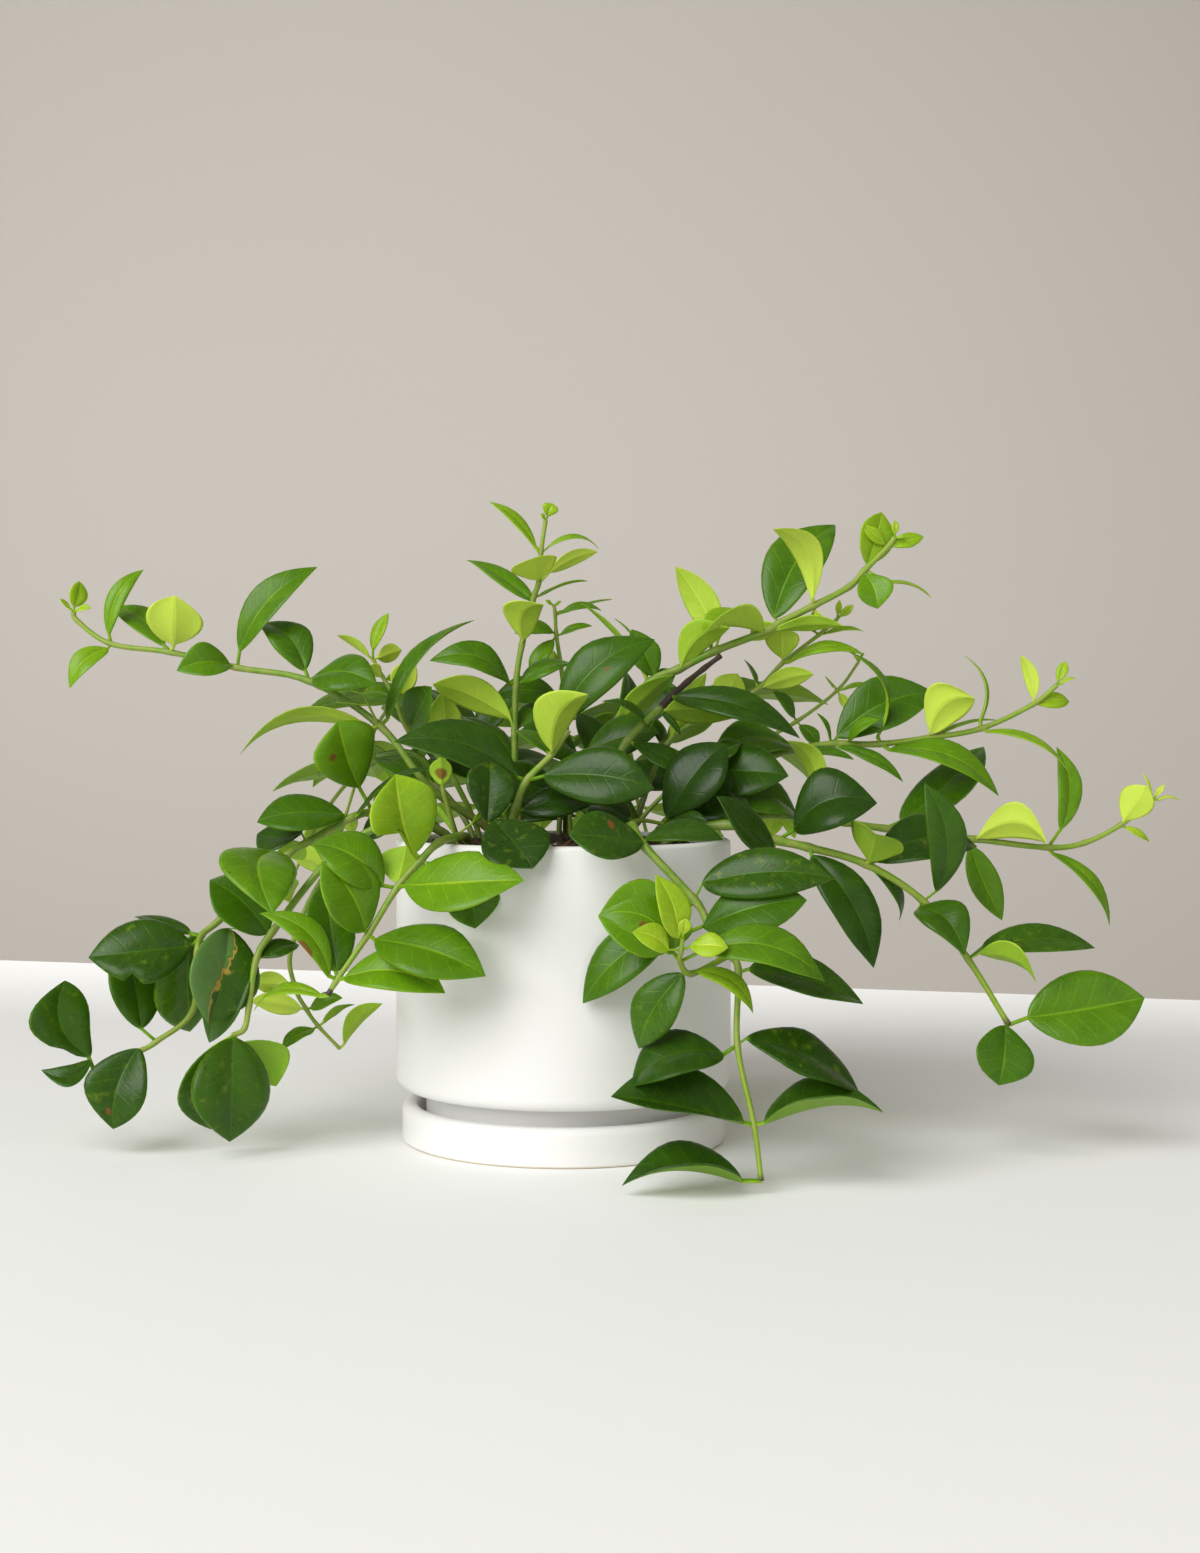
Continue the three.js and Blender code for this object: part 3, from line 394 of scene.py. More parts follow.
def painted(tree, geometry, finish):
    inputs = {"Geometry": geometry, "Material": finish}
    return new_node(tree, "GeometryNodeSetMaterial", inputs).outputs[0]


def strewn_tree():
    """Geometry nodes that strew chips and grains over a heap's upper side, and keep the heap."""
    tree, given = new_growth("strewn_mix", "Mix", {
        "Heap": "Geometry", "Chip": "Object", "Splinter": "Object", "Grain": "Object",
        "Chips per area": "Float", "Grains per area": "Float", "Finish": "Material",
    })
    x, y, z = parts(tree, new_node(tree, "GeometryNodeInputPosition").outputs[0])
    upper = z.math("GREATER_THAN", (SOIL_EDGE - 1) / 1000)
    clear = (x * x + y * y).math("LESS_THAN", ((POT_RADIUS - POT_WALL - EDGE_CLEAR) / 1000) ** 2)
    joined = new_node(tree, "GeometryNodeJoinGeometry", {0: given["Heap"]})
    for number, (kind, density, least, most, _, _) in enumerate(STREWN):
        seeds = {label: seed + number for label, seed in STREWN_SEEDS.items()}
        spread = new_node(tree, "GeometryNodeDistributePointsOnFaces", {
            "Mesh": given["Heap"],
            "Selection": upper * clear,
            "Density": given[density],
            "Seed": seeds["place"],
        })
        shape = new_node(tree, "GeometryNodeObjectInfo", {"Object": given[kind]})
        turn = new_node(tree, "FunctionNodeRandomValue", {
            "Min": (-0.5, -0.5, 0), "Max": (0.5, 0.5, 2 * math.pi), "Seed": seeds["turn"],
        }, data_type="FLOAT_VECTOR")
        size = new_node(tree, "FunctionNodeRandomValue", {2: least, 3: most, "Seed": seeds["size"]})
        shade = new_node(tree, "FunctionNodeRandomValue", {"Seed": seeds["shade"]})
        laid = new_node(tree, "GeometryNodeInstanceOnPoints", {
            "Points": spread.outputs["Points"],
            "Instance": shape.outputs["Geometry"],
            "Rotation": turn.outputs[0],
            "Scale": size.outputs[1],
        })
        lightness = Term(tree, shade.outputs[1]) * 0.8 + 0.1
        named = new_node(tree, "GeometryNodeStoreNamedAttribute", {
            "Geometry": laid.outputs[0],
            "Name": "shade",
            "Value": PERLITE_SHADE if kind == "Grain" else lightness,
        }, domain="INSTANCE")
        feed(tree, joined, {0: named.outputs[0]})
    real = new_node(tree, "GeometryNodeRealizeInstances", {0: joined.outputs[0]})
    new_node(tree, "NodeGroupOutput", {0: painted(tree, real.outputs[0], given["Finish"])})
    return tree


def carried(tree, label):
    """A number that the mesh carries as an attribute."""
    return Term(tree, new_node(tree, "ShaderNodeAttribute", attribute_name=label).outputs["Fac"])


def graded(tree, share, colours):
    """The colour at a share from 0 to 1 of a range of (share, colour)."""
    ramp = new_node(tree, "ShaderNodeValToRGB", {0: share})
    stops = ramp.color_ramp.elements
    for stop, (position, colour) in zip(stops, (colours[0], colours[-1])):
        stop.color = coloured(colour)
    for position, colour in colours[1:-1]:
        stops.new(position).color = coloured(colour)
    return ramp.outputs[0]


def bark():
    """Damp bark and peat: near black crumbs, red-brown chips, and pale perlite."""
    finish, tree, shader = new_finish("bark_and_peat")
    place = object_place(tree)
    shade = carried(tree, "shade")
    fibres = grain(tree, place, 700, 4, 0.65)
    patches = grain(tree, place, 160, 2)
    brown = graded(tree, shade * 0.75 + fibres * 0.3 + patches * 0.2 - 0.15, BARK_BROWNS)
    feed(tree, shader, {
        "Base Color": blended(tree, shade.math("GREATER_THAN", 1.5), brown, PERLITE_WHITE),
        "Roughness": fibres * 0.2 + 0.7,
        "Normal": relief(tree, fibres + patches, 0.0012, 0.9),
    })
    return finish


def grown(name, skeleton, tree, settings):
    """The plain mesh that a tree of nodes makes from a skeleton, as a new object."""
    holder = new_object(name + "_plan", skeleton)
    modifier = holder.modifiers.new("grow", "NODES")
    modifier.node_group = tree
    for item in tree.interface.items_tree:
        if item.name in settings:
            modifier[item.identifier] = settings[item.name]
    depsgraph = bpy.context.evaluated_depsgraph_get()
    mesh = bpy.data.meshes.new_from_object(
        holder.evaluated_get(depsgraph), preserve_all_data_layers=True, depsgraph=depsgraph
    )
    bpy.data.objects.remove(holder)
    return new_object(name, mesh)


heap = soil_body("heap")
strewn = {kind: flake(kind.lower(), size, seed) for kind, _, _, _, size, seed in STREWN}
soil = grown("bark_mix", heap.data, strewn_tree(), {
    **strewn,
    "Chips per area": CHIPS_PER_AREA,
    "Grains per area": GRAINS_PER_AREA,
    "Finish": bark(),
})
for shape in (heap, *strewn.values()):
    bpy.data.objects.remove(shape)
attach(soil, "root")
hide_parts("soil")


# The leafy shoots: fleshy stems with waxy oval leaves in pairs. Each shoot with its leaves grew
# as one piece, stands in its own hole in the mix, arches over the rim and trails outside the pot.
ROOT_DEPTH = 100
STEM_TIP_SHARE = 0.5  # of the girth at the root
PETIOLE_SHARE = 0.045
PETIOLE_LEAST = 1.6
PETIOLE_MOST_SHARE = 0.3
PETIOLE_HALF = 0.85
PETIOLE_SINK = 0.4
BASE_DEPTH = 0.12
BLADE_THICKNESS = 0.6
SMALL_LEAF = 30
SMALL_PETIOLE_HALF = 0.62 * PETIOLE_HALF
SMALL_THICKNESS = 0.42
TIP_POWER = 1.95  # how blunt a slim blade's tip is
TIP_GAIN = 6  # wider blades have blunter tips
SLIM = 0.7
SKY_LEAN = 0.3  # of the side that a leaf's upper side is turned to, where it could be either

# A shoot is its name, the place of its root in the mix (none for a side shoot of the stem
# before it), its girth and its rows. A row of three is a joint: [across, up, depth], as seen
# from the camera on the upright plane through the pot's axis. A longer row is a leaf of the
# joint before it: [tip across, tip up, tip depth beyond the joint, width, turn, arch, fold,
# age_and_painted_shade, base across, base up, sway, blunt]. Turn 0 shows the leaf's upper side and
# 180 its underside, arch lifts its middle, fold lifts its edges, and age_and_painted_shade goes
# from dark (0) to pale (1): partly the leaf's age, from old to young, and partly painted light and
# shade, paler on some leaves that are turned away from the light and darker on those in the shaded
# middle of the plant. The last four can be left out: sway bows the blade within the picture, and
# blunt is added to the power of its tip.
SHOOTS = [
    ("stem_left_high", [-28, 2], 3.6, [
        [-56, 146, -6], [-79, 160, 16, 18, 47, 0.1, 0.14, 0.3],
        [-77, 172, -4], [-38, 217, 19, 15, 60, 0.13, 0.3, 0.32, -74, 175, 0, 0.6],
            [-137, 164.5, -16, 13, 125, 0.2, 0.14, 0.62, -81.5, 171],
        [-107, 191, 0], [-127, 217, 10, 19, 27, 0.05, 0.25, 0.37, -108.5, 195.5, 0.12],
            [-79.5, 192.5, -22, 23, 57, 0.1, 0.14, 0.37, -104.5, 192.5],
        [-137, 196.5, 2], [-103.5, 239, 6, 16.5, 32, 0.08, 0.25, 0.43, -136, 204, 0.08],
            [-162.5, 195.5, -13, 16.5, 37, 0.12, 0.35, 0.43, -140, 197.5, 0.03],
        [-165, 203, 4], [-163, 228, -19, 24, 180, -0.1, 0.14, 0.82, -163.5, 206.5],
            [-189, 222, 19, 15, 37, 0.05, 0.14, 0.49, -168, 206, 0.05],
        [-190, 206.5, 6], [-178, 239, 6, 9, 37, 0.08, 0.14, 0.57, -191, 211, 0.06],
            [-207.5, 188, -10, 11, 27, 0.12, 0.14, 0.57, -191.5, 204.5, 0.1],
        [-204, 216, 8],
        [-206, 220, 8], [-203, 233, 2, 9, 20, 0.1, 0.14, 0.75],
            [-211.5, 225.5, -2, 3.5, 60, 0, 0.14, 0.75], [-198.5, 222, -4, 4, 60, 0.1, 0.14, 0.75],
    ]),
    ("stem_left_high", [], 1.2, [
        [-78, 173, -5],
        [-82, 181, -9], [-95, 182.5, -2, 2.5, 70, 0, 0.14, 0.46],
        [-84.5, 186, -11], [-93.5, 187.5, -2, 2.5, 60, 0.1, 0.14, 0.75],
            [-79, 190.5, 0, 2.5, 60, 0.1, 0.14, 0.75],
    ]),
    ("stem_left_inner", [-36, 20], 2.8, [
        [-50, 156, 16], [-50, 186, 10, 17, 170, 0.1, 0.14, 0.65],
        [-65, 170, 18], [-55.5, 188.5, -16, 18, 32, 0.05, 0.3, 0.39],
        [-71, 184, 20], [-84, 186, 4, 10, 60, 0.1, 0.14, 0.47], [-63, 199, 6, 12, 160, 0.1, 0.14, 0.77],
        [-75.5, 192, 21], [-83, 197, -8, 8, 150, 0.05, 0.14, 0.88],
            [-66, 190, 10, 8, 60, 0.1, 0.14, 0.58],
        [-80, 200, 22], [-95, 210.5, -6, 6, 120, 0.08, 0.14, 0.7],
            [-74.5, 220, 3, 8.5, 57, 0.05, 0.14, 0.7, -80, 204], [-68, 204, 6, 9, 150, 0.05, 0.14, 0.95],
    ]),
    ("stem_centre_tall", [-18, 10], 3.4, [
        [-20, 150, 8], [-42, 178, 13, 19.5, 57, 0.1, 0.14, 0.3],
        [-20.5, 170, 8], [-55, 190, -13, 16.5, 150, 0.12, 0.14, 0.62, -22.5, 175.5, 0.02],
            [-6, 182, 16, 12, 50, 0.1, 0.14, 0.32],
        [-20, 189.5, 8], [-56, 200, -10, 16, 47, 0.16, 0.14, 0.36, -23, 190.5, 0.08],
            [4, 200, 3, 16.5, 57, 0.1, 0.14, 0.36],
        [-17.5, 206, 7], [-8.5, 223.5, -22, 16.5, 165, 0.05, 0.3, 0.71, -17, 208.5, 0.2],
        [-12.5, 226, 6], [-40, 244, 10, 12.5, 47, 0.02, 0.3, 0.47, -13.5, 225],
            [10, 233.5, 10, 6, 85, 0.06, 0.14, 0.47],
        [-10.5, 232, 5], [-13.5, 243, -14, 20, 178, 0, 0.14, 0.84],
            [13, 246.5, 10, 8, 135, 0.02, 0.14, 0.84, -6, 237, 0.02],
        [-9.5, 244.5, 4], [-30.5, 267, 5, 7.5, 57, 0.05, 0.14, 0.62, -12, 247.5, 0.03],
            [15, 248, 8, 5, 65, 0.15, 0.14, 0.62, -6, 247.5, 0.05],
        [-7.5, 258.5, 3], [-4.5, 265.5, -1, 7, 10, 0.2, 0.14, 0.7],
            [-9.5, 261, -1, 3, 60, 0.1, 0.14, 0.7],
    ]),
    ("stem_centre_slim", [-2, 24], 2.6, [
        [0, 160, 28],
        [0, 184, 29], [-27.5, 187, -10, 16.5, 37, 0.12, 0.2, 0.37],
        [-1, 197, 29], [-8, 203, 6, 7, 150, 0, 0.14, 0.71],
        [-3, 210, 28], [-20.5, 211, -8, 7, 30, 0.15, 0.14, 0.47, -4.5, 211.5, 0.05],
            [-14.5, 193.5, -5, 9.5, 37, 0.1, 0.14, 0.47], [12, 214.5, 0, 5, 50, 0.12, 0.14, 0.47],
        [-3.5, 219, 27], [16, 222, 2, 6, 60, 0.15, 0.14, 0.53], [20, 227, 16, 4, 78, 0, 0.14, 0.53],
        [-4, 222.5, 27], [-7.5, 225, 0, 2.5, 60, 0, 0.14, 0.6], [-1, 224.5, 0, 2.5, 60, 0, 0.14, 0.6],
    ]),
    ("stem_centre_low", [3, 8], 2.4, [
        [3, 141, 8], [-32, 149, -26, 23.5, 37, 0.08, 0.14, 0.15], [32, 134, -6, 20, 42, 0.08, 0.14, 0.15],
        [7, 160, 12], [-17, 171, -22, 20.5, 47, 0.1, 0.14, 0.2],
            [40, 170, -10, 24.5, 42, 0.08, 0.14, 0.2],
    ]),
    ("stem_centre_right", [27, -10], 2.6, [
        [44, 145, -8], [78, 139, -16, 25.5, 29, 0.08, 0.14, 0.1],
        [58, 153, -6], [94, 152, -16, 24.5, 27, 0.06, 0.14, 0.15],
            [74, 166, -3, 19.5, 57, 0.08, 0.14, 0.15],
    ]),
    ("stem_front_centre", [-22, -36], 4.2, [
        [-20, 137, -37], [12, 140.5, 4, 16, 30, 0.06, 0.14, 0.05, -17, 136.5, 0.03],
        [-15.5, 149, -37], [-71, 166, -6, 25, 37, 0.06, 0.14, 0.18, -19.5, 150.5, 0.08],
            [37, 148, -19, 25, 29, 0.03, 0.14, 0.17, -8, 151, 0.02, 0.9],
        [-5, 160, -34], [10, 186, -22, 18.5, 145, 0.05, 0.5, 0.66, -5, 162, 0.15],
            [-20, 171, 10, 11.5, 57, 0.1, 0.14, 0.33],
        [2, 170, -30], [37, 210, -3, 23, 22, 0.06, 0.14, 0.28, -1, 175.5, 0.09],
    ]),
    ("stem_hairy_bud", [-42, -38], 2.8, [
        [-45, 126, -43], [-23, 133, -6, 8, 110, 0.12, 0.14, 0.4, -38, 131.5, 0.1],
            [-58, 142, 3, 5, 120, 0.05, 0.14, 0.3],
        [-50, 143, -52],
        [-51, 147.5, -54], [-51.5, 159, -2, 9, 175, 0.05, 0.3, 0.42, -51.3, 147.5],
    ]),
    ("stem_front_low", [-19, -50], 2.6, [
        [-29, 129.5, -57], [-30, 158, 10, 20.5, 22, 0.04, 0.35, 0.1, -32, 131.5, 0, 0.8],
            [-13, 113, -24, 27.5, 24, 0.06, 0.14, 0.07, -29, 132, -0.02, 1.2],
    ]),
    ("stem_right_high", [20, 16], 4.4, [
        [20, 150, 18],
        [21, 171, 18], [46, 194, -10, 13, 150, 0.1, 0.14, 0.34],
        [36, 190, 18], [29, 213, 3, 15.5, 27, 0.05, 0.14, 0.38, 38, 193],
            [22.5, 218, 13, 3, 85, 0.1, 0.14, 0.38],
            [7.5, 224, 3, 5, 120, 0.02, 0.14, 0.38, 33, 196, 0.02],
        [48.5, 196, 18], [70, 213.5, -13, 14.5, 165, 0.05, 0.3, 0.5, 49.5, 197, 0.17],
            [40, 188, 8, 12, 40, 0.1, 0.14, 0.41],
        [63.5, 203.5, 19], [47.5, 239, 3, 14.5, 172, 0.04, 0.14, 0.66, 65, 208, 0.06, 0.4],
            [52, 213, 12, 9, 70, 0.1, 0.14, 0.44],
        [85.5, 212, 22], [58.5, 213.5, -19, 20, 85, 0.06, 1, 0.62],
            [117, 215, 3, 9, 130, 0.05, 0.14, 0.5],
        [91, 215.5, 23], [114, 258, 24, 26, 22, 0.05, 0.3, 0.36, 88.5, 217.5, 0.06],
            [78, 208, 6, 10, 150, 0.1, 0.14, 0.66],
        [105, 222.5, 24], [87.5, 256, -20, 12.5, 172, 0.12, 0.14, 1, 104.5, 226, 0.18],
            [107, 215, 2, 6, 150, 0, 0.14, 0.85],
        [120, 230.5, 26],
        [126.5, 237.5, 27], [134, 262, 3, 17.5, 25, 0.05, 0.14, 0.65, 127.5, 240],
            [132, 221.5, -8, 16, 10, 0.1, 0.3, 0.55, 126.5, 235.5, 0.1],
            [154.5, 226.5, 13, 3.5, 85, 0.1, 0.14, 0.65, 135.5, 232.5],
        [136, 247, 28], [126, 256.5, -4, 6, 20, 0.05, 0.14, 0.7], [151.5, 252, 2, 7, 20, 0.05, 0.14, 0.7],
        [139, 251, 28], [139.5, 258.5, 0, 3.5, 10, 0.1, 0.14, 0.75],
            [143, 251.5, -2, 2.5, 60, 0.1, 0.14, 0.75],
    ]),
    ("stem_woody", [12, -4], 4, [
        [19, 150, -8],
        [27, 166, -8], [54.5, 151, -11, 14, 57, 0.05, 0.14, 0.15],
        [40, 179, -4], [73, 177, 6, 18, 150, 0.08, 0.14, 0.46],
            [16.5, 183, -6, 9, 60, 0.14, 0.3, 0.3, 36, 170.5], [49.5, 168.5, -4, 4, 40, 0.1, 0.14, 0.2],
        [45.5, 184.5, -1], [99.5, 169.5, -19, 19.5, 42, 0.12, 0.2, 0.13, 46.5, 184, -0.02],
        [52, 190.5, 4],
        [59, 196.2, 9],
        [66, 201.5, 12],
    ]),
    ("stem_right_back", [30, 24], 2.9, [
        [44, 165, 30], [60, 194.5, -3, 10, 150, 0.05, 0.14, 0.6],
        [66, 178, 32], [73, 194, 4, 15, 165, 0.1, 0.14, 0.63],
        [82, 188, 34], [105, 194.5, -3, 10, 150, 0.05, 0.14, 0.68], [76, 200, 8, 6, 70, 0.05, 0.14, 0.38],
        [92, 198.5, 37], [92, 213, -10, 15, 178, 0, 0.14, 0.66],
            [126, 204.5, -6, 8, 60, 0.15, 0.14, 0.62],
        [107.5, 210.5, 41], [126, 213, 0, 4.5, 55, 0.08, 0.14, 0.6], [97, 216, 6, 5, 60, 0.1, 0.14, 0.51],
        [115, 217, 43], [116, 225, 0, 3, 20, 0, 0.14, 0.8], [121.5, 223, -2, 4, 20, 0, 0.14, 0.8],
    ]),
    ("stem_right_rear", [42, 24], 2.4, [
        [70, 157, 44], [88, 150, 6, 19.5, 57, 0.1, 0.14, 0.3],
        [98, 174, 50], [89, 187, -6, 8, 50, 0.1, 0.14, 0.36], [107, 163, -4, 9, 50, 0.1, 0.14, 0.36],
        [115, 187, 54], [130.5, 189, 2, 5, 120, 0.1, 0.14, 0.46],
            [119, 179.5, -2, 5, 150, 0.1, 0.14, 0.76], [110, 193, 2, 2, 80, 0, 0.14, 0.46],
        [124, 199, 56], [120.5, 205, 0, 2, 60, 0, 0.14, 0.6], [126, 203, 0, 2, 60, 0, 0.14, 0.6],
    ]),
    ("stem_right_long", [38, 4], 3.8, [
        [62, 148, 6],
        [86, 159, 8],
        [99, 162.5, 8], [122, 158.5, -13, 9, 60, 0.05, 0.14, 0.35],
            [62, 159, -10, 24, 57, 0.08, 0.14, 0.32, 96, 163, 0.1],
        [113, 164.5, 8], [156, 186, 6, 24.5, 22, 0.05, 0.14, 0.31, 115, 167.5, 0.1],
            [106.5, 177.5, -6, 4, 60, 0.1, 0.14, 0.39], [143.5, 151, -10, 8, 60, 0.08, 0.14, 0.39],
        [118, 164.5, 8], [132, 175.5, -10, 9, 50, 0.15, 0.14, 0.43],
        [133, 164.5, 9], [120, 204, -13, 9, 80, 0.24, 0.14, 0.49],
            [183, 143, -10, 20, 57, 0.11, 0.14, 0.49, 137, 162, 0.05],
        [153, 167, 10], [173.5, 184.5, -16, 19, 172, 0.04, 0.25, 0.78, 154, 169.5, 0.2],
            [182, 176, 13, 4, 80, 0.05, 0.14, 0.54],
        [175.5, 171, 10], [171, 202, 10, 4, 85, 0.16, 0.14, 0.61],
            [212.5, 156.5, -10, 8, 60, 0.13, 0.14, 0.61],
        [197, 181, 10], [192, 202, 0, 6.5, 168, 0.05, 0.14, 0.95, 197.5, 183.5, 0.08],
            [213, 183, 6, 8, 30, 0.1, 0.14, 0.68],
        [207, 189, 10], [211, 199.5, 2, 5, 15, 0.05, 0.14, 0.75],
            [215, 192.5, -2, 3.5, 60, 0.1, 0.14, 0.75],
    ]),
    ("stem_right_low", [48, 12], 3.8, [
        [78, 134, 2],
        [100, 134, -2], [69, 139, -16, 24, 48, 0.1, 0.14, 0.23, 98.5, 133, 0.12],
        [118, 131.5, 0], [94, 166, -13, 10.5, 150, 0.2, 0.14, 0.58, 108, 142, 0.05],
        [135, 129, 3], [177, 167, 32, 22, 25, 0.04, 0.14, 0.35, 142, 132, -0.05],
        [173, 124.5, 8], [184.5, 90.5, -6, 15, 27, 0.05, 0.2, 0.43, 171, 121, -0.05],
            [204, 123.5, -19, 16.5, 160, 0.06, 0.35, 0.8, 174.5, 125.5, 0.22],
        [203.5, 121, 10], [209, 163.5, 3, 12, 32, 0.02, 0.25, 0.52, 209, 129, 0.08],
            [230, 88.5, 0, 10, 55, 0.16, 0.14, 0.52],
        [219, 123, 10],
        [234, 130.5, 10], [245, 147, -6, 15, 175, 0.02, 0.14, 0.82],
            [246.5, 123.5, 2, 4.5, 40, 0.1, 0.14, 0.73],
        [247.5, 141, 10], [244, 152.5, 0, 2, 60, 0.05, 0.14, 0.85],
            [259, 141, 0, 2.5, 70, 0.15, 0.14, 0.85], [252.5, 147.5, 0, 3, 30, 0, 0.14, 0.85],
    ]),
    ("stem_right_drooping", [42, -24], 4.4, [
        [68, 130.5, -30],
        [90, 124, -34], [66.5, 143, -16, 19, 42, 0.05, 0.2, 0.12, 88, 120, -0.08],
            [130.5, 141, -13, 29, 27, 0.05, 0.3, 0.06, 97, 128.5, 0.17],
        [103, 121, -35], [131, 71, -16, 21.5, 22, 0.05, 0.14, 0.11, 104.5, 117.5, 0.07],
        [127, 114, -37], [132, 129, -26, 23.5, 168, 0.05, 0.4, 0.52, 128.5, 115.5],
            [174, 122, 10, 26, 42, 0.06, 0.14, 0.1, 131.5, 115.5, 0.11],
            [143, 90.5, 13, 8, 50, 0.05, 0.14, 0.22, 131, 111, 0.1],
        [151, 98.5, -40], [153.5, 147.5, -10, 17, 29, 0.04, 0.25, 0.26, 157, 103, 0.1],
            [168.5, 78, -22, 20, 32, 0.12, 0.35, 0.29, 149, 95, 0.1],
        [170, 74, -43], [223.5, 79.5, 6, 17.5, 47, 0.08, 0.14, 0.26, 176, 79, 0.02],
            [199, 65, -16, 18, 120, 0.1, 0.3, 0.5, 175, 76.5, 0.06],
        [187, 46.5, -47], [244.5, 58.5, 3, 31.5, 17, 0.04, 0.14, 0.38, 195, 49.5, -0.04],
            [183.5, 21.5, -13, 24.5, 22, 0.06, 0.2, 0.34, 185.5, 46.2],
    ]),
    ("stem_front_hanging", [27, -46], 3.8, [
        [29, 130, -60],
        [34, 121.5, -74], [2.5, 126.5, -13, 23, 42, 0.1, 0.14, 0.12, 33, 123, -0.06, 1.2],
            [67, 126, -6, 16, 62, 0.06, 0.14, 0.14, 34.5, 124.5, 0.04],
        [55, 99, -80], [113, 110.5, -13, 22.5, 32, 0.04, 0.14, 0.22, 58.5, 106, 0.03],
            [6.5, 56.5, 3, 21.5, 22, 0.04, 0.14, 0.34, 46, 88, 0.05],
        [61, 89, -83], [102, 99.5, -10, 23.5, 32, 0.1, 0.14, 0.3, 59, 87.5],
            [14.5, 92, -10, 31.5, 22, 0.05, 0.14, 0.5, 54, 86],
        [70, 76, -88],
        [73.5, 68.5, -91], [126, 55.5, 0, 29.5, 57, 0.05, 0.14, 0.22, 78, 70, 0.02],
        [73, 38, -99], [28, 21, -6, 27, 42, 0.06, 0.14, 0.12, 67, 34, 0.12],
            [125.5, 20, 3, 27, 52, 0.08, 0.14, 0.1, 77, 41],
        [80, 4.5, -106], [20.5, 18.5, -3, 31, 62, 0, 0.62, 0.15, 75.5, 5.5],
            [133.5, 15, 3, 26, 78, 0.06, 0.7, 0.2, 84.5, 5.5],
        [83, -19, -111], [25, -15.5, -3, 26, 75, 0.07, 0.65, 0.16, 75, -19],
    ]),
    ("stem_front_hanging", [], 2.6, [
        [70, 76, -88],
        [54, 68, -104], [81, 53, -3, 10, 45, 0.12, 0.14, 0.64, 56.5, 69, 0.08],
            [30, 36.5, 6, 19, 22, 0.06, 0.14, 0.3, 50, 68, 0.05],
        [49, 73, -111], [110, 65.5, -3, 20, 37, 0.1, 0.14, 0.4, 58, 77.5, 0.1],
            [15.5, 93.5, -6, 17, 27, 0.08, 0.14, 0.5, 46, 77, 0.18],
        [49.5, 78, -115], [29, 85.5, -5, 10.5, 27, 0.05, 0.14, 0.74, 44, 78, 0.1],
            [69, 79.5, -5, 10.5, 32, 0.08, 0.14, 0.76, 53.5, 79.5],
        [50, 83, -117], [39, 109.5, -2, 13.5, 22, 0.06, 0.14, 0.7, 48, 83, 0.08],
            [51.5, 91, -3, 5, 5, 0, 0.14, 0.76],
    ]),
    ("stem_left_front", [-38, -40], 3.8, [
        [-44, 125.5, -50],
        [-52.5, 123, -60],
        [-60.5, 115, -64], [-70, 151.5, -13, 29, 22, 0.1, 0.3, 0.69, -63, 118.5, -0.1, 1.2],
            [-37, 87, -8, 25, 22, 0.06, 0.14, 0.38, -47, 114, 0.05],
        [-70, 104, -67], [-17.5, 108, -26, 28, 27, 0.08, 0.14, 0.52, -66.5, 105, -0.05],
            [-104.5, 123.5, -6, 25, 29, 0.06, 0.14, 0.42, -76, 105, 0.08],
            [-66, 121, 12, 18, 170, 0, 0.14, 0.5],
        [-82, 84.5, -70], [-101, 115, -10, 26, 22, 0.05, 0.15, 0.46, -83.5, 86, 0.07],
            [-33, 70, -22, 27, 47, 0.1, 0.14, 0.44, -79, 82, -0.03],
        [-95, 65.5, -73], [-50, 61.5, -13, 22, 42, 0.08, 0.25, 0.5, -92, 66, 0.06],
            [-127, 94, -3, 12.5, 27, 0.1, 0.14, 0.54, -98.5, 67, 0.12],
            [-101, 106, 19, 19.5, 22, 0.04, 0.14, 0.28],
        [-99, 59, -74], [-131, 54.5, 16, 9, 62, 0.16, 0.14, 0.6],
    ]),
    ("stem_left_drooping", [-46, -14], 3.8, [
        [-70, 131.5, -24],
        [-96, 118, -22],
        [-122, 86, -36], [-148.5, 107.5, -3, 25.5, 25, 0.05, 0.3, 0.3, -124.5, 85, 0.05],
            [-148.5, 47, -14, 30.5, 22, 0.06, 0.2, 0.18, -141, 87],
        [-129, 74, -40], [-111, 81, 10, 12.5, 47, 0.1, 0.14, 0.19],
            [-149, 39, 6, 20, 32, 0.1, 0.14, 0.19, -131.5, 70, 0.03],
        [-132, 55, -43],
        [-134, 45, -45],
        [-139, 42, -47], [-139, -2.5, -10, 34, 17, 0.06, 0.14, 0.26, -139, 41.2, -0.02],
            [-148, 2.5, 13, 26.5, 25, 0.05, 0.14, 0.25, -146, 38, -0.1],
            [-120.5, 21.5, 13, 21, 150, 0.05, 0.14, 0.33, -135, 39, 0.1],
    ]),
    ("stem_left_low", [-48, 4], 3.7, [
        [-66, 132, 0], [-85, 127.5, 3, 15, 50, 0.1, 0.14, 0.06],
        [-80, 135.5, -2], [-94, 173.5, -15, 30, 22, 0.06, 0.14, 0.5, -86, 146.5, -0.06, 1.6],
            [-72, 147, 8, 8, 60, 0.1, 0.14, 0.15],
        [-89, 133.5, -6], [-55, 155.5, -16, 10, 75, 0.1, 0.14, 0.15],
            [-128.5, 133.5, -13, 24, 45, 0.1, 0.14, 0.3, -92.5, 134.5, -0.02, 1.5],
        [-108, 123, -12], [-129.5, 128, 16, 19, 47, 0.05, 0.14, 0.16, -110, 127, -0.12],
            [-117, 118, 12, 12, 160, 0, 0.14, 0.46],
        [-117, 117, -16], [-121.5, 95.5, -48, 31.5, 17, 0.12, 0.14, 0.46, -122, 119, -0.15],
        [-144, 91, -28],
